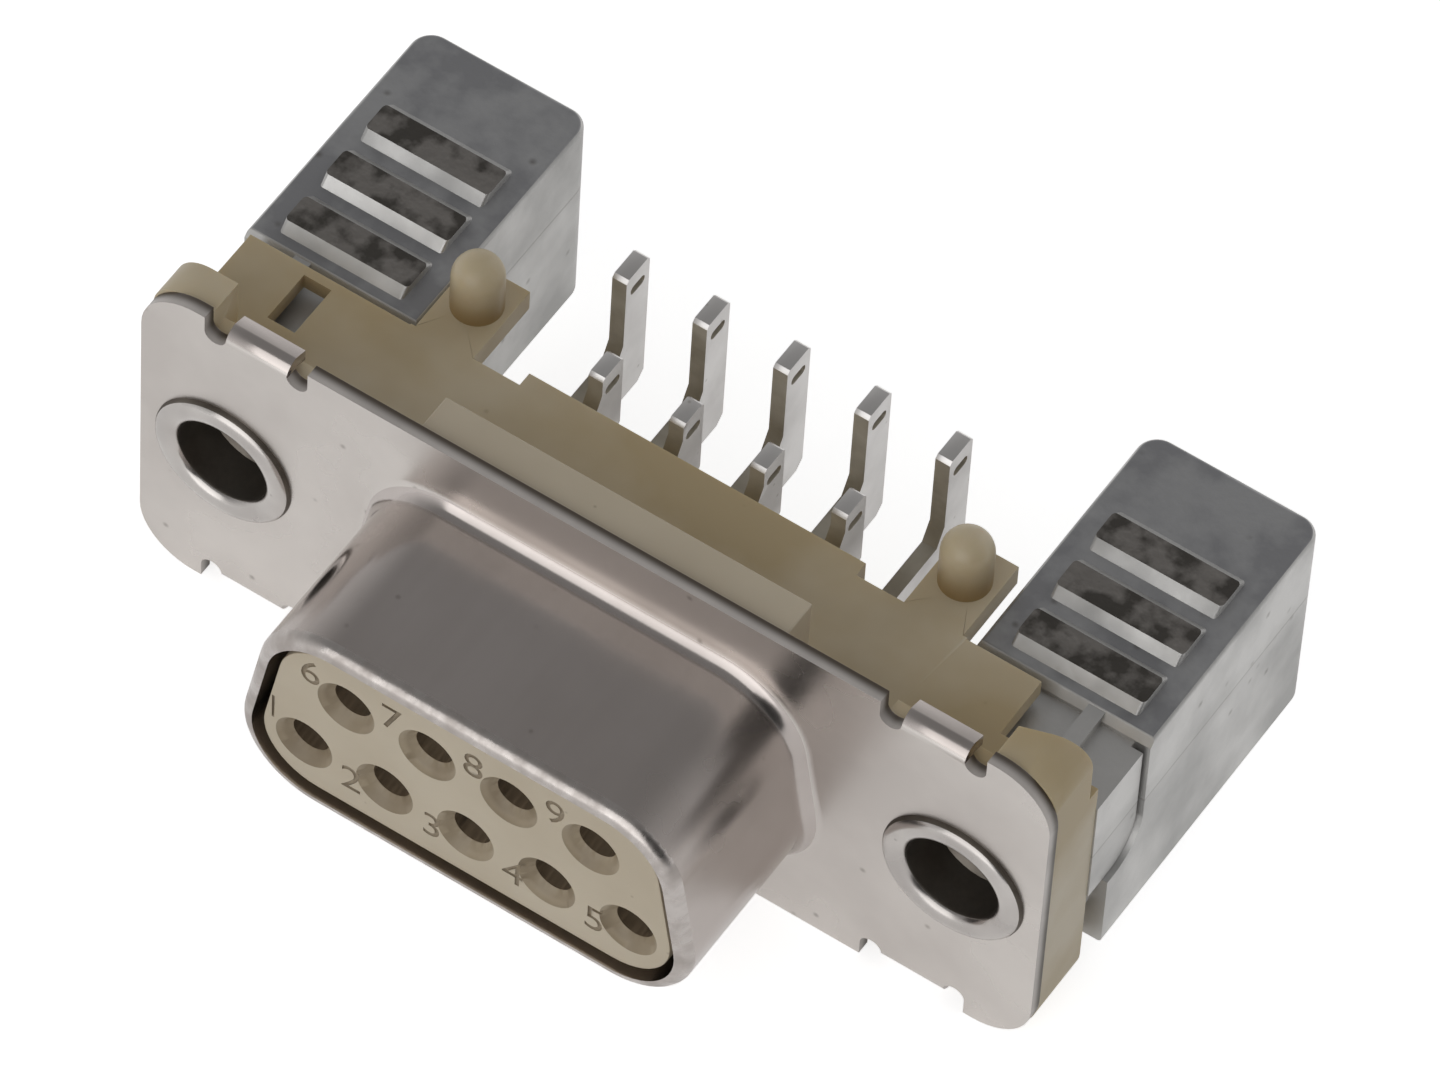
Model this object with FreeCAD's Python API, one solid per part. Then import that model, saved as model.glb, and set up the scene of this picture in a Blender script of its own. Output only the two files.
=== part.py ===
import FreeCAD, Part
import math
import os

# Nine-way angled socket connector with two cast mounting brackets.
# Sizes are in millimetres. The origin is the middle of the flange's front face.
# X runs along the flange, Y runs back from the mating face, Z points along the tails.

# Drawn steel shell
FLANGE_WIDTH = 30.81
FLANGE_HEIGHT = 12.55
FLANGE_CORNER = 1.9
SHEET = 0.45
FASTENER_TO_END = 2.91
FASTENER_X = FLANGE_WIDTH / 2 - FASTENER_TO_END
SHELL_WIDTH_RATIO = 0.53
SHELL_WIDTH = FLANGE_WIDTH * SHELL_WIDTH_RATIO
SHELL_HEIGHT = 7.9
SHELL_SLANT_DEG = 10.0
SHELL_CORNER = 2.6
SHELL_REACH = 6.15
SHELL_LIP_RADIUS = 0.42
SHELL_ROOT_RADIUS = 0.55

# Clinch tabs folded back over the moulding, and their relief notches
TAB_TO_FASTENER = 1.045
TAB_X = FASTENER_X - TAB_TO_FASTENER
TAB_WIDTH = 2.1
TAB_REACH = 0.95
TAB_DROP = 0.25
TAB_BEND_RADIUS = 0.5
TAB_DIP = 0.15
NOTCH_RADIUS = 0.36
NOTCH_DEPTH = 0.58

# Contact grid
CONTACTS_PER_LONG_ROW = 5
CONTACTS_PER_SHORT_ROW = 4
CONTACT_TO_SHELL_SIDE = 2.625
CONTACT_PITCH = (SHELL_WIDTH - 2 * CONTACT_TO_SHELL_SIDE) / (CONTACTS_PER_LONG_ROW - 1)
ROW_SPACING = 2.84

# Front insulator
INSULATOR_RECESS = 0.2
INSULATOR_GAP = 0.27
FUNNEL_DIAMETER = 1.95
FUNNEL_DEPTH = 0.38
ENTRY_DIAMETER = 1.25
ENTRY_LENGTH = 0.72
COLLAR_BEYOND_SHELL = 0.935
COLLAR_WIDTH = SHELL_WIDTH + 2 * COLLAR_BEYOND_SHELL
COLLAR_HEIGHT = 6.8
COLLAR_THICKNESS = 1.2
RIM_WIDTH = 12.4
RIM_BELOW_FLANGE = 0.275
RIM_HEIGHT = FLANGE_HEIGHT - 2 * RIM_BELOW_FLANGE
RIM_THICKNESS = 1.4

# Socket contacts
BARREL_DIAMETER = 1.7
BARREL_BORE = 1.04
BARREL_LENGTH = 4.6
BARREL_BORE_DEPTH = 4.0
BARREL_SLOT_WIDTH = 0.25
BARREL_SLOT_DEPTH = 3.2
BARREL_CLEARANCE = 0.1
SHANK_WIDTH = 1.2
BLADE_THICKNESS = 0.5
BLADE_CLEARANCE = 0.05
BLADE_RUN_HEIGHT = 2.0
BLADE_NECK_HEIGHT = 1.0
BLADE_NECK_TO_REAR = 1.0
REAR_RUN_TOP = 1.0
FRONT_RUN_TOP = 0.5
REAR_TAIL_Y = 10.4
REAR_TAIL_WIDTH = 1.2
FRONT_TAIL_Y = 7.05
FRONT_TAIL_WIDTH = 1.05
TAIL_TIP_Z = 3.35
TAIL_TIP_CHAMFER = 0.12
TAIL_KNEE_CHAMFER = 0.35
TAIL_HEEL_CHAMFER = 0.3
TAIL_SLOT_LENGTH = 0.72
TAIL_SLOT_WIDTH = 0.36
TAIL_SLOT_ROUND = 0.17
TAIL_SLOT_BELOW_TIP = 0.75

# Cast brackets
BRACKET_INBOARD = 2.895
BRACKET_OUTBOARD = 3.005
BRACKET_INNER = FASTENER_X - BRACKET_INBOARD
BRACKET_OUTER = FASTENER_X + BRACKET_OUTBOARD
BRACKET_FRONT = 5.3
BRACKET_FRONT_CHAMFER = 0.25
BRACKET_REAR = 14.5
BRACKET_TOP = 2.8
BRACKET_BOTTOM = -5.1
BRACKET_CORNER = 0.7
BRACKET_EDGE = 0.15
FOOT_FRONT = 3.6
FOOT_TOP = -2.1
FOOT_ROUND = 1.4
NECK_TOP = 2.4
NECK_BOTTOM = -3.4
NECK_INSET = 0.7
CREASE_WIDTH = 0.15
CREASE_DEPTH = 0.4
PAD_OUTBOARD = 1.355
PAD_WIDTH = 0.55
PAD_HEIGHT = 0.35
RIB_COUNT = 3
RIB_FIRST_Y = 6.69
RIB_PITCH = 2.03
RIB_BASE_WIDTH = 1.63
RIB_TOP_WIDTH = 1.03
RIB_LENGTH = 4.3
RIB_HEIGHT = 0.3
RIB_END_ROUND = 0.12

# Rear moulding
BODY_TOP = 3.4
BODY_BOTTOM = -5.0
BODY_REAR = 5.0
BODY_TO_BRACKET = 0.1
BODY_HALF_WIDTH = BRACKET_INNER - BODY_TO_BRACKET
TONGUE_REAR = 5.5
TONGUE_HALF_WIDTH = 5.75
PLATE_THICKNESS = 2.35
PLATE_INSET_X = 0.105
PLATE_INSET_Z = 0.175
PLATE_CORNER = 1.2
LUMP_TO_FASTENER = 0.705
LUMP_THICKNESS = 1.2
END_BLOCK_SLANT = 0.7
TAB_SEAT_BELOW_FLANGE = 1.075
TAB_SEAT = FLANGE_HEIGHT / 2 - TAB_SEAT_BELOW_FLANGE
TAB_SEAT_THICKNESS = 0.55
TAB_RELIEF = 0.3
POCKET_CLEARANCE = 0.05
ROOF_THICKNESS = 0.6
ROOF_SHORT_OF_BODY = 0.05
LEFT_ROOF_OUTBOARD = 2.555
WINDOW_INBOARD = 0.475
WINDOW_OUTBOARD = 0.475
WINDOW_REAR = 4.65
ARM_TO_BRACKET = 0.25
ARM_WIDTH = 2.0
ARM_REAR = 7.9
ARM_THICKNESS = 0.8
PEG_TO_BRACKET = 1.26
PEG_X = BRACKET_INNER - PEG_TO_BRACKET
PEG_Y = 6.65
PEG_DIAMETER = 1.6
PEG_HEIGHT = 2.15

# Threaded bushes in the flange holes
BUSH_BODY = 4.1
BUSH_BORE = 2.5
BUSH_COUNTERSINK = 3.15
BUSH_COUNTERSINK_DEPTH = 0.325
BUSH_FLARE = 4.7
BUSH_FLARE_PROUD = 0.3
BUSH_FLARE_ROUND = 0.2
BUSH_LENGTH = 8.0
BUSH_FIT = 0.05
RUN_OUT_BORE = 2.9
RUN_OUT_LENGTH = 2.0

# How far joined blocks run into each other, and how near counts as the same place
JOIN = 1.0
NEAR = 1e-3

BACK = FreeCAD.Vector(0, 1, 0)
UP = FreeCAD.Vector(0, 0, 1)
ACROSS = FreeCAD.Vector(1, 0, 0)


def point(x, y, z):
    """A point in the object's frame."""
    return FreeCAD.Vector(x, y, z)


def block(x0, x1, y0, y1, z0, z1):
    """A box between two corners, given in any order."""
    low = point(min(x0, x1), min(y0, y1), min(z0, z1))
    return Part.makeBox(abs(x1 - x0), abs(y1 - y0), abs(z1 - z0), low)


def rod(diameter, x, z, y0, y1):
    """A round bar along Y."""
    return Part.makeCylinder(diameter / 2, y1 - y0, point(x, y0, z), BACK)


def cone(d0, d1, x, z, y0, y1):
    """A tapered bar along Y."""
    return Part.makeCone(d0 / 2, d1 / 2, y1 - y0, point(x, y0, z), BACK)


def fuse(pieces):
    """One solid from several touching pieces."""
    return pieces[0].multiFuse(pieces[1:]).removeSplitter()


def save(name, shape):
    """Write one piece to the parts folder and say how large it is."""
    solids = shape.Solids
    body = solids[0] if len(solids) == 1 else shape
    print(name, "solids", len(solids), "volume", round(body.Volume, 3), "valid", body.isValid())
    body.exportStep("parts/" + name + ".step")


def rounded_wire(corners, radii):
    """A closed wire through corners, each rounded by its own tangent arc."""
    edges = []
    ends = []
    count = len(corners)
    for i in range(count):
        here, radius = corners[i], radii[i]
        to_last = (corners[i - 1] - here).normalize()
        to_next = (corners[(i + 1) % count] - here).normalize()
        half = to_last.getAngle(to_next) / 2
        setback = radius / math.tan(half)
        middle = (to_last + to_next).normalize()
        centre = here + middle * (radius / math.sin(half))
        ends.append((here + to_last * setback, centre - middle * radius, here + to_next * setback))
    for i in range(count):
        start, crown, stop = ends[i]
        if radii[i] > 0:
            edges.append(Part.Arc(start, crown, stop).toShape())
        after = ends[(i + 1) % count][0]
        if stop.distanceToPoint(after) > NEAR:
            edges.append(Part.makeLine(stop, after))
    return Part.Wire(edges)


def prism(wire, direction):
    """A solid swept from a flat wire."""
    return Part.Face(wire).extrude(direction)


def shell_outline(inset, y):
    """The shell's D outline, wide side down, moved in by inset."""
    slant = math.radians(SHELL_SLANT_DEG)
    half_height = SHELL_HEIGHT / 2 - inset
    side = SHELL_WIDTH / 2 - (SHELL_HEIGHT / 2) * math.tan(slant) - inset / math.cos(slant)
    low = side + half_height * math.tan(slant)
    high = side - half_height * math.tan(slant)
    corners = [
        point(-low, y, -half_height),
        point(low, y, -half_height),
        point(high, y, half_height),
        point(-high, y, half_height),
    ]
    return rounded_wire(corners, [SHELL_CORNER - inset] * 4)


def shell_prism(inset, y0, y1):
    """The D outline as a solid between two depths."""
    return prism(shell_outline(inset, y0), BACK * (y1 - y0))


def plate(half_width, half_height, corner, y0, y1):
    """An upright plate with rounded corners, centred on the Y axis."""
    corners = [
        point(-half_width, y0, -half_height),
        point(half_width, y0, -half_height),
        point(half_width, y0, half_height),
        point(-half_width, y0, half_height),
    ]
    return prism(rounded_wire(corners, [corner] * 4), BACK * (y1 - y0))


def edges_where(shape, test):
    """The edges of a shape that pass a test on their box."""
    return [edge for edge in shape.Edges if test(edge.BoundBox)]


def clinch_tab(x, side):
    """One tab: a strip that rolls back from the flange edge and dips behind it."""
    top = FLANGE_HEIGHT / 2 - TAB_DROP
    outer = TAB_BEND_RADIUS
    inner = outer - SHEET
    centre_z = top - outer
    corner = math.sqrt(0.5)
    points = {
        "front": (0, centre_z),
        "outer_mid": (outer - outer * corner, centre_z + outer * corner),
        "outer_top": (outer, top),
        "tip_top": (TAB_REACH, top - TAB_DIP),
        "tip_low": (TAB_REACH, top - TAB_DIP - SHEET),
        "inner_top": (outer, top - SHEET),
        "inner_mid": (outer - inner * corner, centre_z + inner * corner),
        "back": (SHEET, centre_z),
        "back_low": (SHEET, centre_z - SHEET),
        "front_low": (0, centre_z - SHEET),
    }
    x0 = x - TAB_WIDTH / 2
    place = {name: point(x0, y, side * z) for name, (y, z) in points.items()}
    run = ["outer_top", "tip_top", "tip_low", "inner_top"]
    edges = [Part.Arc(place["front"], place["outer_mid"], place["outer_top"]).toShape()]
    edges += [Part.makeLine(place[a], place[b]) for a, b in zip(run, run[1:])]
    edges.append(Part.Arc(place["inner_top"], place["inner_mid"], place["back"]).toShape())
    run = ["back", "back_low", "front_low", "front"]
    edges += [Part.makeLine(place[a], place[b]) for a, b in zip(run, run[1:])]
    return prism(Part.Wire(edges), ACROSS * TAB_WIDTH)


def drawn_nose(body):
    """The D wall: rounded into the flange and over its lip, and hollow."""
    half_width, half_height = SHELL_WIDTH / 2 + NEAR, SHELL_HEIGHT / 2 + NEAR
    root = edges_where(body, lambda b: abs(b.YMin) < NEAR and abs(b.YMax) < NEAR
                       and max(b.XMax, -b.XMin) < half_width and max(b.ZMax, -b.ZMin) < half_height)
    body = body.makeFillet(SHELL_ROOT_RADIUS, root)
    lip = edges_where(body, lambda b: b.YMax < NEAR - SHELL_REACH)
    body = body.makeFillet(SHELL_LIP_RADIUS, lip)
    body = body.cut(shell_prism(SHEET, -SHELL_REACH, SHEET))
    back = edges_where(body, lambda b: abs(b.YMin - SHEET) < NEAR and abs(b.YMax - SHEET) < NEAR
                       and max(b.XMax, -b.XMin) < half_width and max(b.ZMax, -b.ZMin) < half_height)
    return body.makeFillet(SHELL_ROOT_RADIUS + SHEET, back)


def tab_reliefs(x, side):
    """The cuts in the flange edge around one tab: its own width and a notch at each end."""
    half = TAB_WIDTH / 2
    edge = side * FLANGE_HEIGHT / 2
    bend_start = edge - side * (TAB_DROP + TAB_BEND_RADIUS)
    notch_z = edge - side * NOTCH_DEPTH
    cuts = [block(x - half, x + half, 0, SHEET, bend_start, edge)]
    for end in (-1, 1):
        notch_x = x + end * (half + NOTCH_RADIUS)
        cuts.append(rod(2 * NOTCH_RADIUS, notch_x, notch_z, 0, SHEET))
        cuts.append(block(notch_x - NOTCH_RADIUS, notch_x + NOTCH_RADIUS, 0, SHEET, notch_z, edge))
    return cuts


def front_shell():
    """The drawn shell: flange, D wall with a rounded lip, holes and clinch tabs."""
    flange = plate(FLANGE_WIDTH / 2, FLANGE_HEIGHT / 2, FLANGE_CORNER, 0, SHEET)
    body = drawn_nose(fuse([flange, shell_prism(0, -SHELL_REACH, SHEET)]))
    tabs = []
    for side_x in (-1, 1):
        body = body.cut(bush_hole(side_x, 0, SHEET))
        for side_z in (-1, 1):
            for cut in tab_reliefs(side_x * TAB_X, side_z):
                body = body.cut(cut)
            tabs.append(clinch_tab(side_x * TAB_X, side_z))
    return fuse([body] + tabs)


def contact_places():
    """Each contact's number, X, row Z and row name, numbered along both rows."""
    places = []
    number = 1
    rows = [
        ("rear", CONTACTS_PER_LONG_ROW, -ROW_SPACING / 2),
        ("front", CONTACTS_PER_SHORT_ROW, ROW_SPACING / 2),
    ]
    for row, count, z in rows:
        for i in range(count):
            places.append((number, (i - (count - 1) / 2) * CONTACT_PITCH, z, row))
            number += 1
    return places


def insulator_face():
    """How far the insulator's face stands from the flange."""
    return INSULATOR_RECESS - SHELL_REACH


def barrel_front():
    """Where the contact's mouth begins, behind the entry hole."""
    return insulator_face() + FUNNEL_DEPTH + ENTRY_LENGTH


def barrel_rear():
    """Where the contact's barrel ends."""
    return barrel_front() + BARREL_LENGTH


def insulator_rear():
    """The back of the front insulator's collar."""
    return SHEET + COLLAR_THICKNESS


def rim_rear():
    """The back of the front insulator's rim."""
    return SHEET + RIM_THICKNESS


def front_insulator():
    """The moulded nose with nine countersunk entries, and the collar behind the flange."""
    nose = shell_prism(SHEET + INSULATOR_GAP, insulator_face(), SHEET)
    collar = block(-COLLAR_WIDTH / 2, COLLAR_WIDTH / 2, SHEET, insulator_rear(),
                   -COLLAR_HEIGHT / 2, COLLAR_HEIGHT / 2)
    rim = block(-RIM_WIDTH / 2, RIM_WIDTH / 2, SHEET, rim_rear(), -RIM_HEIGHT / 2, RIM_HEIGHT / 2)
    body = fuse([nose, collar, rim])
    room = BARREL_DIAMETER + 2 * BARREL_CLEARANCE
    for _, x, z, _ in contact_places():
        face = insulator_face()
        body = body.cut(cone(FUNNEL_DIAMETER, ENTRY_DIAMETER, x, z, face, face + FUNNEL_DEPTH))
        body = body.cut(rod(ENTRY_DIAMETER, x, z, face, barrel_front()))
        body = body.cut(rod(room, x, z, barrel_front(), rim_rear()))
    return body


def tail_outline(x, z, row):
    """The flat outline of a contact's blade, in the plane of its own X."""
    if row == "rear":
        middle, width, run_top = REAR_TAIL_Y, REAR_TAIL_WIDTH, z + REAR_RUN_TOP
    else:
        middle, width, run_top = FRONT_TAIL_Y, FRONT_TAIL_WIDTH, z + FRONT_RUN_TOP
    run_low = run_top - BLADE_RUN_HEIGHT
    front, back = middle - width / 2, middle + width / 2
    start = barrel_rear() - SHANK_WIDTH / 2
    neck_end = BODY_REAR - BLADE_NECK_TO_REAR
    half_neck = BLADE_NECK_HEIGHT / 2
    outline = [
        (start, z + half_neck),
        (neck_end, z + half_neck),
        (neck_end, run_top),
        (front - TAIL_KNEE_CHAMFER, run_top),
        (front, run_top + 2 * TAIL_KNEE_CHAMFER),
        (front, TAIL_TIP_Z - TAIL_TIP_CHAMFER),
        (front + TAIL_TIP_CHAMFER, TAIL_TIP_Z),
        (back - TAIL_TIP_CHAMFER, TAIL_TIP_Z),
        (back, TAIL_TIP_Z - TAIL_TIP_CHAMFER),
        (back, run_low + TAIL_HEEL_CHAMFER),
        (back - TAIL_HEEL_CHAMFER, run_low),
        (neck_end, run_low),
        (neck_end, z - half_neck),
        (start, z - half_neck),
    ]
    return [point(x - BLADE_THICKNESS / 2, y, height) for y, height in outline]


def tail_slot(x, row):
    """The small slot pierced just below a tail's tip."""
    middle = REAR_TAIL_Y if row == "rear" else FRONT_TAIL_Y
    half = TAIL_SLOT_LENGTH / 2
    low = TAIL_TIP_Z - TAIL_SLOT_BELOW_TIP - TAIL_SLOT_WIDTH / 2
    x0 = x - BLADE_THICKNESS
    corners = [
        point(x0, middle - half, low),
        point(x0, middle + half, low),
        point(x0, middle + half, low + TAIL_SLOT_WIDTH),
        point(x0, middle - half, low + TAIL_SLOT_WIDTH),
    ]
    return prism(rounded_wire(corners, [TAIL_SLOT_ROUND] * 4), ACROSS * (2 * BLADE_THICKNESS))


def contact(x, z, row):
    """A socket contact: split barrel, shank and flat bent tail, stamped in one."""
    barrel = rod(BARREL_DIAMETER, x, z, barrel_front(), barrel_rear())
    barrel = barrel.cut(rod(BARREL_BORE, x, z, barrel_front(), barrel_front() + BARREL_BORE_DEPTH))
    half = BARREL_SLOT_WIDTH / 2
    barrel = barrel.cut(block(x - half, x + half, barrel_front(), barrel_front() + BARREL_SLOT_DEPTH,
                              z - BARREL_DIAMETER, z + BARREL_DIAMETER))
    outline = tail_outline(x, z, row)
    blade = prism(Part.makePolygon(outline + [outline[0]]), ACROSS * BLADE_THICKNESS)
    return fuse([barrel, blade.cut(tail_slot(x, row))])


def blade_passage(x, z, row):
    """The space that a contact's blade takes through the rear moulding."""
    run_top = z + (REAR_RUN_TOP if row == "rear" else FRONT_RUN_TOP)
    half = BLADE_THICKNESS / 2 + BLADE_CLEARANCE
    neck_end = BODY_REAR - BLADE_NECK_TO_REAR - BLADE_CLEARANCE
    half_neck = BLADE_NECK_HEIGHT / 2 + BLADE_CLEARANCE
    neck = block(x - half, x + half, insulator_rear(), neck_end, z - half_neck, z + half_neck)
    run = block(x - half, x + half, neck_end, TONGUE_REAR,
                run_top - BLADE_RUN_HEIGHT - BLADE_CLEARANCE, run_top + BLADE_CLEARANCE)
    return neck.fuse(run)


def peg(side):
    """A domed board peg on its arm."""
    radius = PEG_DIAMETER / 2
    x = side * PEG_X
    base = BODY_TOP - ARM_THICKNESS / 2
    shaft = Part.makeCylinder(radius, BODY_TOP + PEG_HEIGHT - radius - base, point(x, PEG_Y, base), UP)
    dome = Part.makeSphere(radius, point(x, PEG_Y, BODY_TOP + PEG_HEIGHT - radius))
    return shaft.fuse(dome)


def behind_plate():
    """The back of the rear moulding's upright plate."""
    return SHEET + PLATE_THICKNESS


def end_block(inner, outer):
    """The room of the deeper right-hand lump, whose back slants away from the flange."""
    corners = [
        point(inner, SHEET, 0),
        point(outer, SHEET, 0),
        point(outer, SHEET + LUMP_THICKNESS + END_BLOCK_SLANT, 0),
        point(inner, SHEET + LUMP_THICKNESS, 0),
    ]
    return prism(Part.makePolygon(corners + [corners[0]]), UP * FLANGE_HEIGHT)


def housing_plate():
    """The moulding's upright plate behind the flange, with end lumps and tab seats."""
    beyond = FLANGE_WIDTH
    half_width = FLANGE_WIDTH / 2 - PLATE_INSET_X
    half_height = FLANGE_HEIGHT / 2 - PLATE_INSET_Z
    whole = plate(half_width, half_height, PLATE_CORNER, SHEET, behind_plate())
    thin = plate(half_width, half_height, PLATE_CORNER, SHEET, SHEET + LUMP_THICKNESS)
    pieces = [
        whole.common(block(-beyond, beyond, 0, beyond, -beyond, BODY_TOP)),
        whole.common(end_block(FASTENER_X + LUMP_TO_FASTENER, half_width)),
    ]
    lump_x = FASTENER_X + LUMP_TO_FASTENER
    seat_half = TAB_WIDTH / 2 + 2 * NOTCH_RADIUS
    for side in (-1, 1):
        pieces.append(thin.common(block(side * lump_x, side * beyond, 0, beyond, 0, beyond)))
        pieces.append(block(side * (TAB_X - seat_half), side * lump_x,
                            SHEET, SHEET + TAB_SEAT_THICKNESS, 0, TAB_SEAT))
    body = fuse(pieces)
    for side in (-1, 1):
        x = side * TAB_X
        body = body.cut(block(x - seat_half, x + seat_half, SHEET, TAB_REACH + TAB_RELIEF,
                              -TAB_SEAT, -beyond))
    return body


def housing_arm(side):
    """The roof beside a bracket's window, and the arm with its peg."""
    arm_outer = BRACKET_INNER - ARM_TO_BRACKET
    arm_inner = arm_outer - ARM_WIDTH
    arm_low = BODY_TOP - ARM_THICKNESS
    return [
        block(side * (BODY_HALF_WIDTH - JOIN), side * (FASTENER_X - WINDOW_INBOARD),
              SHEET, BODY_REAR - ROOF_SHORT_OF_BODY, BODY_TOP - ROOF_THICKNESS, BODY_TOP),
        block(side * arm_outer, side * arm_inner, BODY_REAR - JOIN, ARM_REAR, arm_low, BODY_TOP),
        peg(side),
    ]


def left_wing():
    """The roof's left end, which closes that window behind and outboard."""
    low = BODY_TOP - ROOF_THICKNESS
    rear = BODY_REAR - ROOF_SHORT_OF_BODY
    inner = -(FASTENER_X - WINDOW_INBOARD)
    outer = -(FASTENER_X + WINDOW_OUTBOARD)
    end = -(FASTENER_X + LEFT_ROOF_OUTBOARD)
    return [
        block(inner, outer, WINDOW_REAR, rear, low, BODY_TOP),
        block(outer, end, SHEET, rear, low, BODY_TOP),
    ]


def rear_housing():
    """The rear moulding that holds the tails, with its plate, roofs, arms and pegs."""
    core = block(-BODY_HALF_WIDTH, BODY_HALF_WIDTH, SHEET, BODY_REAR, BODY_BOTTOM, BODY_TOP)
    tongue = block(-TONGUE_HALF_WIDTH, TONGUE_HALF_WIDTH, BODY_REAR - JOIN, TONGUE_REAR,
                   BODY_BOTTOM, BODY_TOP)
    body = fuse([housing_plate(), core, tongue] + housing_arm(-1) + housing_arm(1) + left_wing())
    seat = POCKET_CLEARANCE
    body = body.cut(block(-COLLAR_WIDTH / 2 - seat, COLLAR_WIDTH / 2 + seat, 0, insulator_rear() + seat,
                          -COLLAR_HEIGHT / 2 - seat, COLLAR_HEIGHT / 2 + seat))
    body = body.cut(block(-RIM_WIDTH / 2 - seat, RIM_WIDTH / 2 + seat, 0, rim_rear() + seat,
                          -RIM_HEIGHT / 2 - seat, RIM_HEIGHT / 2 + seat))
    for _, x, z, row in contact_places():
        body = body.cut(blade_passage(x, z, row))
    for side in (-1, 1):
        body = body.cut(bush_hole(side, SHEET, behind_plate()))
    return body


def bracket_rib(index):
    """One raised rib across the bracket's seat, with sloped sides and rounded ends."""
    start_x = (BRACKET_INNER + BRACKET_OUTER - RIB_LENGTH) / 2
    y = RIB_FIRST_Y + index * RIB_PITCH
    base = BRACKET_TOP - RIB_HEIGHT
    top = BRACKET_TOP + RIB_HEIGHT
    corners = [
        point(start_x, y - RIB_BASE_WIDTH / 2, base),
        point(start_x, y + RIB_BASE_WIDTH / 2, base),
        point(start_x, y + RIB_BASE_WIDTH / 2, BRACKET_TOP),
        point(start_x, y + RIB_TOP_WIDTH / 2, top),
        point(start_x, y - RIB_TOP_WIDTH / 2, top),
        point(start_x, y - RIB_BASE_WIDTH / 2, BRACKET_TOP),
    ]
    bar = prism(Part.makePolygon(corners + [corners[0]]), ACROSS * RIB_LENGTH)
    ends = edges_where(bar, lambda b: b.ZMax - b.ZMin > RIB_HEIGHT - NEAR)
    return bar.makeFillet(RIB_END_ROUND, ends)


def foot_round(x, inset):
    """Three points of the round between block and foot, moved off both by inset."""
    centre_y = BRACKET_FRONT - FOOT_ROUND
    centre_z = FOOT_TOP + FOOT_ROUND
    radius = FOOT_ROUND - inset
    along = radius * math.sqrt(0.5)
    start = point(x, centre_y + radius, centre_z)
    middle = point(x, centre_y + along, centre_z - along)
    stop = point(x, centre_y, centre_z - radius)
    return start, middle, stop


def bracket_profile():
    """The bracket's side outline, with the foot running forward under a round."""
    x = BRACKET_INNER
    start, middle, stop = foot_round(x, 0)
    run = [
        stop,
        point(x, FOOT_FRONT, FOOT_TOP),
        point(x, FOOT_FRONT, BRACKET_BOTTOM),
        point(x, BRACKET_REAR, BRACKET_BOTTOM),
        point(x, BRACKET_REAR, BRACKET_TOP),
        point(x, BRACKET_FRONT + BRACKET_FRONT_CHAMFER, BRACKET_TOP),
        point(x, BRACKET_FRONT, BRACKET_TOP - BRACKET_FRONT_CHAMFER),
        start,
    ]
    edges = [Part.makeLine(a, b) for a, b in zip(run, run[1:]) if a.distanceToPoint(b) > NEAR]
    edges.append(Part.Arc(start, middle, stop).toShape())
    return Part.Wire(edges)


def bracket_neck():
    """The neck from block to moulding: a web, a pad, and a cheek that a crease parts from the block."""
    inner, outer = BRACKET_INNER + NECK_INSET, BRACKET_OUTER - CREASE_WIDTH
    front = behind_plate()
    web = block(inner, outer - CREASE_DEPTH, front, BRACKET_FRONT + JOIN, NECK_BOTTOM, NECK_TOP)
    pad_end = FASTENER_X + PAD_OUTBOARD
    pad = block(pad_end - PAD_WIDTH, pad_end, front, BRACKET_FRONT + JOIN, NECK_TOP, NECK_TOP + PAD_HEIGHT)
    x = outer - CREASE_DEPTH
    start, middle, stop = foot_round(x, CREASE_WIDTH)
    run = [
        stop,
        point(x, front, stop.z),
        point(x, front, NECK_TOP),
        point(x, start.y, NECK_TOP),
        start,
    ]
    edges = [Part.makeLine(a, b) for a, b in zip(run, run[1:])]
    edges.append(Part.Arc(start, middle, stop).toShape())
    return [web, pad, prism(Part.Wire(edges), ACROSS * CREASE_DEPTH)]


def bracket():
    """The right-hand cast bracket: seat with ribs, foot, neck and fastener bore."""
    body = prism(bracket_profile(), ACROSS * (BRACKET_OUTER - BRACKET_INNER))
    uprights = edges_where(body, lambda b: b.ZMax - b.ZMin > BRACKET_TOP - BRACKET_BOTTOM - NEAR
                           and b.YMin > BRACKET_REAR - NEAR)
    body = body.makeFillet(BRACKET_CORNER, uprights)
    rims = edges_where(body, lambda b: b.ZMin > BRACKET_TOP - NEAR or
                       (b.ZMax < BRACKET_BOTTOM + NEAR and b.YMax > FOOT_FRONT + NEAR))
    body = body.makeFillet(BRACKET_EDGE, rims)
    ribs = [bracket_rib(i) for i in range(RIB_COUNT)]
    body = fuse([body] + bracket_neck() + ribs)
    body = body.cut(bush_hole(1, behind_plate(), bush_rear() + BUSH_FIT))
    return body.cut(rod(RUN_OUT_BORE, FASTENER_X, 0, behind_plate(), bush_rear() + RUN_OUT_LENGTH))


def bush_rear():
    """The back end of a threaded bush."""
    return BUSH_LENGTH - BUSH_FLARE_PROUD


def bush_hole(side, y0, y1):
    """The room for a bush through one piece, between two depths."""
    return rod(BUSH_BODY + 2 * BUSH_FIT, side * FASTENER_X, 0, y0, y1)


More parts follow.
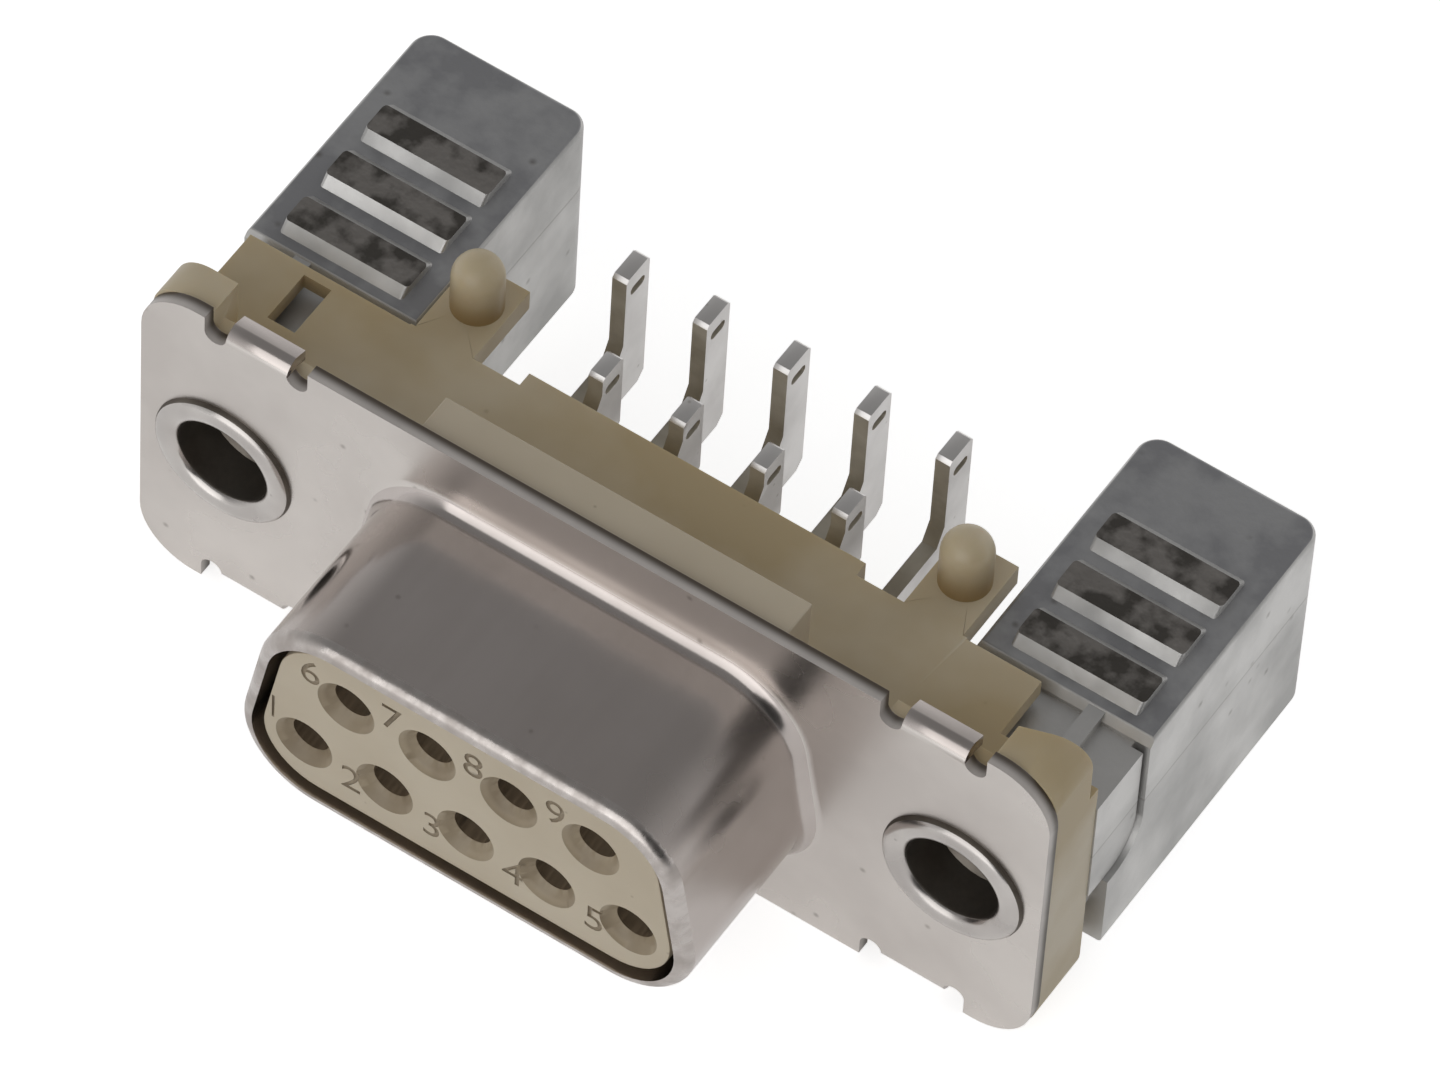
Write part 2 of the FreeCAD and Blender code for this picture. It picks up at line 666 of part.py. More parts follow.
def bush(side):
    """A threaded bush: a tube through flange, moulding and bracket, flared at the front."""
    x = side * FASTENER_X
    body = rod(BUSH_BODY, x, 0, 0, bush_rear())
    flare = rod(BUSH_FLARE, x, 0, -BUSH_FLARE_PROUD, 0)
    rim = edges_where(flare, lambda b: b.YMax < NEAR - BUSH_FLARE_PROUD)
    flare = flare.makeFillet(BUSH_FLARE_ROUND, rim)
    body = fuse([body, flare])
    mouth = -BUSH_FLARE_PROUD
    body = body.cut(rod(BUSH_BORE, x, 0, mouth, bush_rear()))
    return body.cut(cone(BUSH_COUNTERSINK, BUSH_BORE, x, 0, mouth, mouth + BUSH_COUNTERSINK_DEPTH))


def main():
    """Build every piece and write it."""
    os.makedirs("parts", exist_ok=True)
    save("front_shell", front_shell())
    save("front_insulator", front_insulator())
    save("rear_housing", rear_housing())
    right = bracket()
    save("right_bracket", right)
    save("left_bracket", right.mirror(point(0, 0, 0), ACROSS))
    save("right_bush", bush(1))
    save("left_bush", bush(-1))
    for number, x, z, row in contact_places():
        save("contact_" + str(number), contact(x, z, row))


main()
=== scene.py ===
import logging
import math
from dataclasses import dataclass
from enum import Enum
from typing import Callable, Sequence

import bpy
from mathutils import Matrix, Vector


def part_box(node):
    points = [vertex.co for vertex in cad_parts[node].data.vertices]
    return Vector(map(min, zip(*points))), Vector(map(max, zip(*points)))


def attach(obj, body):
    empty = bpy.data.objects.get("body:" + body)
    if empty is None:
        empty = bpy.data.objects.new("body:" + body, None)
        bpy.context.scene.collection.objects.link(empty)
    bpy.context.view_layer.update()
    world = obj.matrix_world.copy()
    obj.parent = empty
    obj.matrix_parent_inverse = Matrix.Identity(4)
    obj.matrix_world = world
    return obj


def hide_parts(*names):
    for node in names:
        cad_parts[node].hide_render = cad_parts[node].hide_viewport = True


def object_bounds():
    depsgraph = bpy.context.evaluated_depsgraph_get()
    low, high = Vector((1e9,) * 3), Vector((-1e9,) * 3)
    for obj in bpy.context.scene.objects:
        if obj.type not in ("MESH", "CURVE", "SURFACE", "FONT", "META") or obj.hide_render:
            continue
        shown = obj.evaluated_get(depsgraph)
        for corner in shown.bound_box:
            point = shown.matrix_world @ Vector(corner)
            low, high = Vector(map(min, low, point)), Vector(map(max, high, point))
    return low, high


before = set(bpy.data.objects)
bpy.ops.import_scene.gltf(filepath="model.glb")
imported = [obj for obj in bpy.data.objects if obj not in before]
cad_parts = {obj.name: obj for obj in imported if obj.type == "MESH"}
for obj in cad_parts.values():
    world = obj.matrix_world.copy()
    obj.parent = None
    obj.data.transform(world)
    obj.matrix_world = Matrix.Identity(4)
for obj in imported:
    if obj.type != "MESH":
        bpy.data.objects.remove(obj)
CAD_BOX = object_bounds()

# Everything is modelled in metres, so sizes in the classes are millimetres times this.
MM = 0.001
FRAME_BODY = "root"
CONTACT_COUNT = 9

# Corners nearer than this, in metres, become one.
WELD = 1e-6
# Faces that turn by less than this, in degrees, lie in one plane.
FLAT_DEGREES = 0.3
# A place counts as on a surface within this, in millimetres.
NEAR = 0.05
# A face looks along an axis above the first share of its normal, and across it below the second.
NORMAL_LIMIT = 0.9
SIDEWAYS_LIMIT = 0.3

log = logging.getLogger("connector")


class Side(Enum):
    """The two ends of the connector."""

    LEFT = "left"
    RIGHT = "right"


class Slot(Enum):
    """The record's material slots, by name, one for each kind of piece."""

    SHELL = "shell_steel"
    INSULATOR = "insulator_ivory"
    HOUSING = "housing_ivory"
    BRACKET = "bracket_zinc"
    BUSH = "bush_steel"
    CONTACT = "contact_tin"


def deselect_all() -> None:
    """Leave nothing selected, so that an operator acts on one piece only."""
    if bpy.context.object and bpy.context.object.mode != "OBJECT":
        bpy.ops.object.mode_set(mode="OBJECT")
    bpy.ops.object.select_all(action="DESELECT")


def select_only(piece: bpy.types.Object) -> None:
    """Select one piece and make it active.

    Args:
        piece: The object to work on.
    """
    deselect_all()
    piece.select_set(True)
    bpy.context.view_layer.objects.active = piece


def in_edit_mode(piece: bpy.types.Object, work: Callable[[], None]) -> None:
    """Run edit-mode work on a piece with all of it selected.

    Args:
        piece: The object to edit.
        work: What to do there.
    """
    select_only(piece)
    bpy.ops.object.mode_set(mode="EDIT")
    bpy.ops.mesh.select_mode(type="VERT")
    bpy.ops.mesh.select_all(action="SELECT")
    work()
    bpy.ops.object.mode_set(mode="OBJECT")


def settle(piece: bpy.types.Object) -> None:
    """Move a finished piece's place into its mesh.

    Args:
        piece: The object to settle.
    """
    select_only(piece)
    bpy.ops.object.transform_apply(location=True, rotation=True, scale=True)


def smooth(piece: bpy.types.Object, degrees: float = 32.0) -> None:
    """Shade a piece smooth wherever its faces meet at less than an angle.

    Args:
        piece: The object to shade.
        degrees: The angle past which an edge stays sharp.
    """
    select_only(piece)
    bpy.ops.object.shade_smooth_by_angle(angle=math.radians(degrees))


def weigh_edges(piece: bpy.types.Object, degrees: float, share: Callable[[Vector], float]) -> None:
    """Say for each sharp edge of a piece how much of the full round it gets.

    Args:
        piece: The object.
        degrees: The angle past which an edge is sharp.
        share: Gives the round's share, from none to one, at an edge's middle.
    """

    def pick() -> None:
        """Select the sharp edges."""
        bpy.ops.mesh.select_all(action="DESELECT")
        bpy.ops.mesh.select_mode(type="EDGE")
        bpy.ops.mesh.edges_select_sharp(sharpness=math.radians(degrees))

    in_edit_mode(piece, pick)
    weights = piece.data.attributes.new("bevel_weight_edge", "FLOAT", "EDGE")
    corners = piece.data.vertices
    for edge in piece.data.edges:
        middle = (corners[edge.vertices[0]].co + corners[edge.vertices[1]].co) / 2
        weights.data[edge.index].value = share(middle) if edge.select else 0.0


def even_shading(piece: bpy.types.Object) -> None:
    """Shade a piece smooth over its rounds and flat on its large faces.

    Args:
        piece: The object.
    """
    smooth(piece)
    even = piece.modifiers.new("even_shading", "WEIGHTED_NORMAL")
    even.keep_sharp = True
    bpy.ops.object.modifier_apply(modifier=even.name)


def round_edges(piece: bpy.types.Object, width: float, segments: int = 2, degrees: float = 34.0,
                share: Callable[[Vector], float] = lambda middle: 1.0) -> None:
    """Break a piece's sharp edges with a small round.

    Args:
        piece: The object to round.
        width: The full round's width in metres.
        segments: How many faces make up the round.
        degrees: The angle past which an edge is rounded.
        share: Gives the round's share, from none to one, at an edge's middle.
    """
    weigh_edges(piece, degrees, share)
    select_only(piece)
    bevel = piece.modifiers.new("edge_round", "BEVEL")
    bevel.width = width
    bevel.segments = segments
    bevel.limit_method = "WEIGHT"
    bevel.miter_outer = "MITER_ARC"
    bpy.ops.object.modifier_apply(modifier=bevel.name)
    even_shading(piece)


def detailed_copy(node: str, merge: float = 0.4e-6, whole_faces: bool = True) -> bpy.types.Object:
    """Copy a node's mesh into a new piece with joined triangles.

    Args:
        node: The node's name.
        merge: How near corners are to be joined, in metres.
        whole_faces: Whether each flat face becomes one, or only pairs of triangles are joined.

    Returns:
        The new piece, which isn't declared yet.
    """
    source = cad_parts[node]
    piece = bpy.data.objects.new(node + "_detailed", source.data.copy())
    bpy.context.scene.collection.objects.link(piece)
    piece.data.materials.clear()

    def join() -> None:
        """Join loose corners, and then the triangles of each flat face."""
        flat = math.radians(FLAT_DEGREES)
        bpy.ops.mesh.remove_doubles(threshold=merge)
        if whole_faces:
            bpy.ops.mesh.dissolve_limited(angle_limit=flat)
        else:
            bpy.ops.mesh.tris_convert_to_quads(face_threshold=flat, shape_threshold=math.pi)

    in_edit_mode(piece, join)
    return piece


def choose_faces(piece: bpy.types.Object, test: Callable[[Vector, Vector], bool]) -> list[int]:
    """List a piece's faces by their place and normal.

    Args:
        piece: The object.
        test: Says yes or no from a face's centre and normal.

    Returns:
        The indices of the chosen faces.
    """
    return [face.index for face in piece.data.polygons if test(face.center, face.normal)]


def dress(piece: bpy.types.Object, material: bpy.types.Material) -> None:
    """Give a whole piece one material.

    Args:
        piece: The object.
        material: Its finish.
    """
    piece.data.materials.clear()
    piece.data.materials.append(material)
    for face in piece.data.polygons:
        face.material_index = 0


def dress_faces(piece: bpy.types.Object, material: bpy.types.Material,
                test: Callable[[Vector, Vector], bool]) -> None:
    """Give some of a piece's faces another material.

    Args:
        piece: The object, which has its main material already.
        material: The finish of the chosen faces.
        test: Says yes or no from a face's centre and normal.
    """
    piece.data.materials.append(material)
    slot = len(piece.data.materials) - 1
    for index in choose_faces(piece, test):
        piece.data.polygons[index].material_index = slot


def declare(piece: bpy.types.Object, stands_for: Sequence[str] = ()) -> None:
    """Say what a finished piece rides on and the nodes it stands for.

    Args:
        piece: The object.
        stands_for: The nodes that the piece is shown instead of.
    """
    settle(piece)
    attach(piece, FRAME_BODY)
    if stands_for:
        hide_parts(*stands_for)
    log.info("%s: %d faces", piece.name, len(piece.data.polygons))


class EffectGroups:
    """Shader node groups for the effects that several finishes share."""

    def __init__(self) -> None:
        """Build each group once."""
        self.clouds = self._clouds()
        self.grain = self._grain()
        self.lines = self._lines()
        self.pits = self._pits()
        self.seam = self._seam()

    @staticmethod
    def _group(name: str, inputs: dict[str, tuple[str, object]],
               outputs: dict[str, str]) -> tuple[bpy.types.NodeTree, bpy.types.Node, bpy.types.Node]:
        """Start a group with its sockets.

        Args:
            name: The group's name.
            inputs: Each input's socket type and default value.
            outputs: Each output's socket type.

        Returns:
            The group, its input node and its output node.
        """
        group = bpy.data.node_groups.new(name, "ShaderNodeTree")
        for label, (kind, value) in inputs.items():
            socket = group.interface.new_socket(name=label, in_out="INPUT", socket_type=kind)
            socket.default_value = value
        for label, kind in outputs.items():
            group.interface.new_socket(name=label, in_out="OUTPUT", socket_type=kind)
        return group, group.nodes.new("NodeGroupInput"), group.nodes.new("NodeGroupOutput")

    @staticmethod
    def _stretched_noise(group: bpy.types.NodeTree, start: bpy.types.Node, detail: float) -> bpy.types.Node:
        """Add a noise on the piece's own coordinates, stretched and scaled by the group's inputs.

        Args:
            group: The group.
            start: Its input node, with Stretch and Scale.
            detail: The noise's detail.

        Returns:
            The noise node.
        """
        place = group.nodes.new("ShaderNodeTexCoord")
        stretch = group.nodes.new("ShaderNodeVectorMath")
        stretch.operation = "MULTIPLY"
        noise = group.nodes.new("ShaderNodeTexNoise")
        noise.inputs["Detail"].default_value = detail
        group.links.new(place.outputs["Object"], stretch.inputs[0])
        group.links.new(start.outputs["Stretch"], stretch.inputs[1])
        group.links.new(stretch.outputs["Vector"], noise.inputs["Vector"])
        group.links.new(start.outputs["Scale"], noise.inputs["Scale"])
        return noise

    def _clouds(self) -> bpy.types.NodeTree:
        """Make two tones that drift into each other, and the mask between them.

        Returns:
            The group.
        """
        group, start, end = self._group(
            "drifting_tone",
            {
                "Tone": ("NodeSocketColor", (0.5, 0.5, 0.5, 1)),
                "Other Tone": ("NodeSocketColor", (0.4, 0.4, 0.4, 1)),
                "Stretch": ("NodeSocketVector", (1.0, 1.0, 1.0)),
                "Scale": ("NodeSocketFloat", 300.0),
                "Low": ("NodeSocketFloat", 0.4),
                "High": ("NodeSocketFloat", 0.6),
            },
            {"Color": "NodeSocketColor", "Mask": "NodeSocketFloat"},
        )
        noise = self._stretched_noise(group, start, 4.0)
        ramp = group.nodes.new("ShaderNodeMapRange")
        mix = group.nodes.new("ShaderNodeMix")
        mix.data_type = "RGBA"
        link = group.links.new
        link(noise.outputs["Fac"], ramp.inputs["Value"])
        link(start.outputs["Low"], ramp.inputs["From Min"])
        link(start.outputs["High"], ramp.inputs["From Max"])
        link(ramp.outputs["Result"], mix.inputs["Factor"])
        link(start.outputs["Tone"], mix.inputs[6])
        link(start.outputs["Other Tone"], mix.inputs[7])
        link(mix.outputs[2], end.inputs["Color"])
        link(ramp.outputs["Result"], end.inputs["Mask"])
        return group

    def _grain(self) -> bpy.types.NodeTree:
        """Make a fine grain with larger soft dents, as a height.

        Returns:
            The group.
        """
        group, start, end = self._group(
            "surface_grain",
            {
                "Fine Scale": ("NodeSocketFloat", 6000.0),
                "Dent Scale": ("NodeSocketFloat", 700.0),
                "Dent Share": ("NodeSocketFloat", 0.5),
            },
            {"Height": "NodeSocketFloat"},
        )
        place = group.nodes.new("ShaderNodeTexCoord")
        fine = group.nodes.new("ShaderNodeTexNoise")
        dents = group.nodes.new("ShaderNodeTexNoise")
        dents.inputs["Detail"].default_value = 3.0
        mix = group.nodes.new("ShaderNodeMix")
        link = group.links.new
        link(place.outputs["Object"], fine.inputs["Vector"])
        link(place.outputs["Object"], dents.inputs["Vector"])
        link(start.outputs["Fine Scale"], fine.inputs["Scale"])
        link(start.outputs["Dent Scale"], dents.inputs["Scale"])
        link(start.outputs["Dent Share"], mix.inputs["Factor"])
        link(fine.outputs["Fac"], mix.inputs[2])
        link(dents.outputs["Fac"], mix.inputs[3])
        link(mix.outputs[0], end.inputs["Height"])
        return group

    def _lines(self) -> bpy.types.NodeTree:
        """Make fine lines drawn along one direction, as a mask.

        Returns:
            The group.
        """
        group, start, end = self._group(
            "drawn_lines",
            {
                "Stretch": ("NodeSocketVector", (1.0, 1.0, 1.0)),
                "Scale": ("NodeSocketFloat", 1500.0),
                "Low": ("NodeSocketFloat", 0.25),
                "High": ("NodeSocketFloat", 0.85),
            },
            {"Mask": "NodeSocketFloat"},
        )
        noise = self._stretched_noise(group, start, 2.0)
        ramp = group.nodes.new("ShaderNodeMapRange")
        ramp.interpolation_type = "SMOOTHSTEP"
        link = group.links.new
        link(noise.outputs["Fac"], ramp.inputs["Value"])
        link(start.outputs["Low"], ramp.inputs["From Min"])
        link(start.outputs["High"], ramp.inputs["From Max"])
        link(ramp.outputs["Result"], end.inputs["Mask"])
        return group

    def _pits(self) -> bpy.types.NodeTree:
        """Make scattered small pits, as a mask that is one in a pit.

        Returns:
            The group.
        """
        group, start, end = self._group(
            "scattered_pits",
            {"Scale": ("NodeSocketFloat", 1200.0), "Size": ("NodeSocketFloat", 0.2)},
            {"Mask": "NodeSocketFloat"},
        )
        place = group.nodes.new("ShaderNodeTexCoord")
        cells = group.nodes.new("ShaderNodeTexVoronoi")
        near = group.nodes.new("ShaderNodeMapRange")
        near.interpolation_type = "SMOOTHSTEP"
        near.inputs["From Max"].default_value = 0.0
        link = group.links.new
        link(place.outputs["Object"], cells.inputs["Vector"])
        link(start.outputs["Scale"], cells.inputs["Scale"])
        link(cells.outputs["Distance"], near.inputs["Value"])
        link(start.outputs["Size"], near.inputs["From Min"])
        link(near.outputs["Result"], end.inputs["Mask"])
        return group

    def _seam(self) -> bpy.types.NodeTree:
        """Make a soft band about one plane, as a mask: the line where a mould's halves met on the cast sides,
        and painted shade on the flange's cut edges and at the pegs' base.

        Returns:
            The group.
        """
        group, start, end = self._group(
            "seam_and_painted_shade_band",
            {
                "Across": ("NodeSocketVector", (0.0, 0.0, 1.0)),
                "Place": ("NodeSocketFloat", 0.0),
                "Width": ("NodeSocketFloat", 0.0001),
            },
            {"Mask": "NodeSocketFloat"},
        )
        place = group.nodes.new("ShaderNodeTexCoord")
        along = group.nodes.new("ShaderNodeVectorMath")
        along.operation = "DOT_PRODUCT"
        gap = group.nodes.new("ShaderNodeMath")
        gap.operation = "SUBTRACT"
        away = group.nodes.new("ShaderNodeMath")
        away.operation = "ABSOLUTE"
        near = group.nodes.new("ShaderNodeMapRange")
        near.interpolation_type = "SMOOTHSTEP"
        near.inputs["From Max"].default_value = 0.0
        link = group.links.new
        link(place.outputs["Object"], along.inputs[0])
        link(start.outputs["Across"], along.inputs[1])
        link(along.outputs["Value"], gap.inputs[0])
        link(start.outputs["Place"], gap.inputs[1])
        link(gap.outputs[0], away.inputs[0])
        link(away.outputs[0], near.inputs["Value"])
        link(start.outputs["Width"], near.inputs["From Min"])
        link(near.outputs["Result"], end.inputs["Mask"])
        return group


Tone = tuple[float, float, float]

# How far each colour of light travels under the mouldings' surface, as shares of the finish's scale.
SCATTER_SHARES = (1.0, 0.7, 0.4)
# Each mark's stain (painted shade for the bands that stand for shade), dip or rise, as a share of its
# strength.
LINE_STAIN_SHARE = 0.35
PIT_DIP_SHARE = 0.8
SEAM_AND_SHADE_RISE_SHARE = 1.5


@dataclass(frozen=True)
class Finish:
    """One surface finish: drifting tones and roughness, pits, drawn lines, a band that is a real seam on some
    finishes and painted shade on others, and a grain.
    """

    name: str
    tone: Tone
    other_tone: Tone
    stain: Tone = (0.1, 0.09, 0.08)
    metallic: float = 0.0
    roughness: float = 0.5
    roughness_drift: float = 0.1
    cloud_stretch: Tone = (1.0, 1.0, 1.0)
    cloud_scale: float = 300.0
    cloud_low: float = 0.35
    cloud_high: float = 0.65
    fine_scale: float = 6000.0
    dent_scale: float = 700.0
    dent_share: float = 0.5
    bump: float = 0.1
    bump_depth: float = 0.05
    line_stretch: Tone = (1.0, 1.0, 1.0)
    line_scale: float = 1500.0
    line_strength: float = 0.0
    pit_scale: float = 1200.0
    pit_size: float = 0.2
    pit_strength: float = 0.0
    # The band: a real mould seam on the cast sides, painted shade on the flange's cut edges and at the pegs'
    # base.
    seam_across: Tone = (0.0, 0.0, 1.0)
    seam_place: float = 0.0
    seam_width: float = 0.08
    seam_strength: float = 0.0
    subsurface: float = 0.0
    subsurface_scale: float = 0.6

    def build(self, effects: EffectGroups) -> bpy.types.Material:
        """Make the material.

        Args:
            effects: The shared node groups.

        Returns:
            The material.
        """
        material = bpy.data.materials.new(self.name)
        material.use_nodes = True
        tree = material.node_tree
        shader = tree.nodes["Principled BSDF"]
        shader.inputs["Metallic"].default_value = self.metallic
        shader.inputs["Subsurface Weight"].default_value = self.subsurface
        shader.inputs["Subsurface Radius"].default_value = SCATTER_SHARES
        shader.inputs["Subsurface Scale"].default_value = self.subsurface_scale * MM
        clouds = self._group_node(tree, effects.clouds)
        clouds.inputs["Tone"].default_value = (*self.tone, 1)
        clouds.inputs["Other Tone"].default_value = (*self.other_tone, 1)
        clouds.inputs["Stretch"].default_value = self.cloud_stretch
        clouds.inputs["Scale"].default_value = self.cloud_scale
        clouds.inputs["Low"].default_value = self.cloud_low
        clouds.inputs["High"].default_value = self.cloud_high
        marks = self._marks(tree, effects)
        colour, height = clouds.outputs["Color"], self._grained(tree, effects)
        for mask, strength, dip in marks:
            share = self._times(tree, mask, strength)
            colour = self._stained(tree, colour, share)
            height = self._lowered(tree, height, mask, dip)
        tree.links.new(colour, shader.inputs["Base Color"])
        self._link_roughness(tree, clouds, shader)
        bump = tree.nodes.new("ShaderNodeBump")
        bump.inputs["Strength"].default_value = self.bump
        bump.inputs["Distance"].default_value = self.bump_depth * MM
        tree.links.new(height, bump.inputs["Height"])
        tree.links.new(bump.outputs["Normal"], shader.inputs["Normal"])
        return material

    @staticmethod
    def _group_node(tree: bpy.types.NodeTree, group: bpy.types.NodeTree) -> bpy.types.Node:
        """Place a node group in a material.

        Args:
            tree: The material's nodes.
            group: The shared group.

        Returns:
            The group's node.
        """
        node = tree.nodes.new("ShaderNodeGroup")
        node.node_tree = group
        return node

    @staticmethod
    def _times(tree: bpy.types.NodeTree, value: bpy.types.NodeSocket, factor: float) -> bpy.types.NodeSocket:
        """Multiply a value by a number.

        Args:
            tree: The material's nodes.
            value: The socket that gives the value.
            factor: The number.

        Returns:
            The product's socket.
        """
        node = tree.nodes.new("ShaderNodeMath")
        node.operation = "MULTIPLY"
        node.inputs[1].default_value = factor
        tree.links.new(value, node.inputs[0])
        return node.outputs[0]

    def _stained(self, tree: bpy.types.NodeTree, colour: bpy.types.NodeSocket,
                 share: bpy.types.NodeSocket) -> bpy.types.NodeSocket:
        """Mix a mark's stain into a colour; on the bands that stand for shade it is painted shade.

        Args:
            tree: The material's nodes.
            colour: The colour so far.
            share: How much of the mark's stain and painted shade there is.

        Returns:
            The colour with the stain and painted shade mixed in.
        """
        mix = tree.nodes.new("ShaderNodeMix")
        mix.data_type = "RGBA"
        tree.links.new(share, mix.inputs["Factor"])
        tree.links.new(colour, mix.inputs[6])
        mix.inputs[7].default_value = (*self.stain, 1)
        return mix.outputs[2]

    def _lowered(self, tree: bpy.types.NodeTree, height: bpy.types.NodeSocket,
                 mask: bpy.types.NodeSocket, dip: float) -> bpy.types.NodeSocket:
        """Lower a height where a mask is one.

        Args:
            tree: The material's nodes.
            height: The height so far.
            mask: Where it is lowered.
            dip: By how much.

        Returns:
            The lowered height.
        """
        node = tree.nodes.new("ShaderNodeMath")
        node.operation = "SUBTRACT"
        tree.links.new(height, node.inputs[0])
        tree.links.new(self._times(tree, mask, dip), node.inputs[1])
        return node.outputs[0]

    def _marks(self, tree: bpy.types.NodeTree,
               effects: EffectGroups) -> list[tuple[bpy.types.NodeSocket, float, float]]:
        """Collect the marks that this finish has.

        Args:
            tree: The material's nodes.
            effects: The shared node groups.

        Returns:
            Each mark's mask, the share of its stain and painted shade, and how far it lowers the surface.
        """
        marks = []
        if self.line_strength > 0:
            lines = self._group_node(tree, effects.lines)
            lines.inputs["Stretch"].default_value = self.line_stretch
            lines.inputs["Scale"].default_value = self.line_scale
            marks.append((lines.outputs["Mask"], LINE_STAIN_SHARE * self.line_strength, self.line_strength))
        if self.pit_strength > 0:
            pits = self._group_node(tree, effects.pits)
            pits.inputs["Scale"].default_value = self.pit_scale
            pits.inputs["Size"].default_value = self.pit_size
            marks.append((pits.outputs["Mask"], self.pit_strength, PIT_DIP_SHARE * self.pit_strength))
        if self.seam_strength > 0:
            seam = self._group_node(tree, effects.seam)
            seam.inputs["Across"].default_value = self.seam_across
            seam.inputs["Place"].default_value = self.seam_place * MM
            seam.inputs["Width"].default_value = self.seam_width * MM
            rise = SEAM_AND_SHADE_RISE_SHARE * self.seam_strength
            marks.append((seam.outputs["Mask"], self.seam_strength, -rise))
        return marks

    def _link_roughness(self, tree: bpy.types.NodeTree, clouds: bpy.types.Node,
                        shader: bpy.types.Node) -> None:
        """Let the roughness drift with the tones.

        Args:
            tree: The material's nodes.
            clouds: The drifting tone group's node.
            shader: The Principled BSDF.
        """
        spread = tree.nodes.new("ShaderNodeMapRange")
        spread.inputs["To Min"].default_value = self.roughness - self.roughness_drift / 2
        spread.inputs["To Max"].default_value = self.roughness + self.roughness_drift / 2
        tree.links.new(clouds.outputs["Mask"], spread.inputs["Value"])
        tree.links.new(spread.outputs["Result"], shader.inputs["Roughness"])

    def _grained(self, tree: bpy.types.NodeTree, effects: EffectGroups) -> bpy.types.NodeSocket:
        """Place the grain.

        Args:
            tree: The material's nodes.
            effects: The shared node groups.

        Returns:
            The grain's height.
        """
        grain = self._group_node(tree, effects.grain)
        grain.inputs["Fine Scale"].default_value = self.fine_scale
        grain.inputs["Dent Scale"].default_value = self.dent_scale
        grain.inputs["Dent Share"].default_value = self.dent_share
        return grain.outputs["Height"]


SATIN_NICKEL = Finish(
    "satin_nickel_drawn", (0.57, 0.52, 0.495), (0.47, 0.425, 0.40), metallic=1.0, roughness=0.21,
    roughness_drift=0.14, cloud_scale=140.0, bump=0.1, bump_depth=0.02, dent_scale=260.0, dent_share=0.8,
    line_stretch=(1.0, 0.05, 1.0), line_scale=2600.0, line_strength=0.16,
    stain=(0.25, 0.215, 0.19), pit_scale=700.0, pit_size=0.09, pit_strength=0.5,
)
LIP_NICKEL = Finish(
    "burnished_lip", (0.58, 0.54, 0.515), (0.44, 0.40, 0.375), metallic=1.0, roughness=0.3,
    roughness_drift=0.16, cloud_stretch=(1.0, 0.35, 1.0), cloud_scale=1700.0,
    bump=0.35, bump_depth=0.04, fine_scale=5000.0, dent_scale=1500.0, dent_share=0.75,
    line_stretch=(1.0, 0.1, 1.0), line_scale=3000.0, line_strength=0.3, stain=(0.2, 0.165, 0.145),
)
FLANGE_NICKEL = Finish(
    "satin_nickel_flat", (0.68, 0.64, 0.605), (0.59, 0.55, 0.52), metallic=1.0, roughness=0.3,
    roughness_drift=0.14, cloud_scale=170.0, bump=0.08, bump_depth=0.02, dent_scale=220.0, dent_share=0.85,
    stain=(0.2, 0.17, 0.15), pit_scale=650.0, pit_size=0.1, pit_strength=0.6,
)
# Dull sheared flange edges with painted shadow: the dark band near the rear of each edge is painted shadow of
# the gap to the moulding.
SHEARED_STEEL_WITH_PAINTED_SHADOW = Finish(
    "sheared_steel_edges_with_painted_shadow", (0.60, 0.56, 0.53), (0.50, 0.465, 0.44), metallic=0.25, roughness=0.45,
    cloud_scale=500.0, bump=0.25, bump_depth=0.01, stain=(0.07, 0.052, 0.036),
    seam_across=(0.0, 1.0, 0.0), seam_place=0.4, seam_width=0.32, seam_strength=0.97,
)
IVORY_FACE = Finish(
    "ivory_moulding", (0.57, 0.495, 0.375), (0.52, 0.445, 0.33), roughness=0.42, cloud_scale=220.0,
    bump=0.12, bump_depth=0.02, subsurface=0.06, subsurface_scale=0.35,
    stain=(0.24, 0.18, 0.11), pit_scale=900.0, pit_size=0.07, pit_strength=0.5,
)
# Painted shade: the funnel walls are painted darker than the face for the shade inside the entries.
FUNNEL_PAINTED_SHADE = Finish(
    "funnel_walls_painted_shade", (0.36, 0.29, 0.195), (0.28, 0.22, 0.145), roughness=0.45, cloud_scale=700.0, bump=0.12,
    bump_depth=0.02,
)
# Painted shade: the entry walls past the funnels are painted darker still for the shade deep in the bores.
ENTRY_PAINTED_SHADE = Finish(
    "entry_walls_painted_shade", (0.25, 0.19, 0.125), (0.19, 0.14, 0.09), roughness=0.55, cloud_scale=700.0, bump=0.15,
    bump_depth=0.02,
)
# Painted shade: the debossed numerals are painted darker for the shade in their grooves.
NUMERAL_PAINTED_SHADE = Finish(
    "numeral_painted_shade", (0.31, 0.25, 0.175), (0.38, 0.315, 0.23), roughness=0.6, cloud_scale=900.0, bump=0.1,
)
AMBER_HOUSING = Finish(
    "amber_ivory_moulding", (0.585, 0.50, 0.355), (0.485, 0.385, 0.225), roughness=0.4, cloud_scale=150.0,
    cloud_low=0.4, cloud_high=0.6, bump=0.15, bump_depth=0.03, subsurface=0.14, subsurface_scale=0.6,
    stain=(0.22, 0.155, 0.08), pit_scale=600.0, pit_size=0.08, pit_strength=0.5,
)
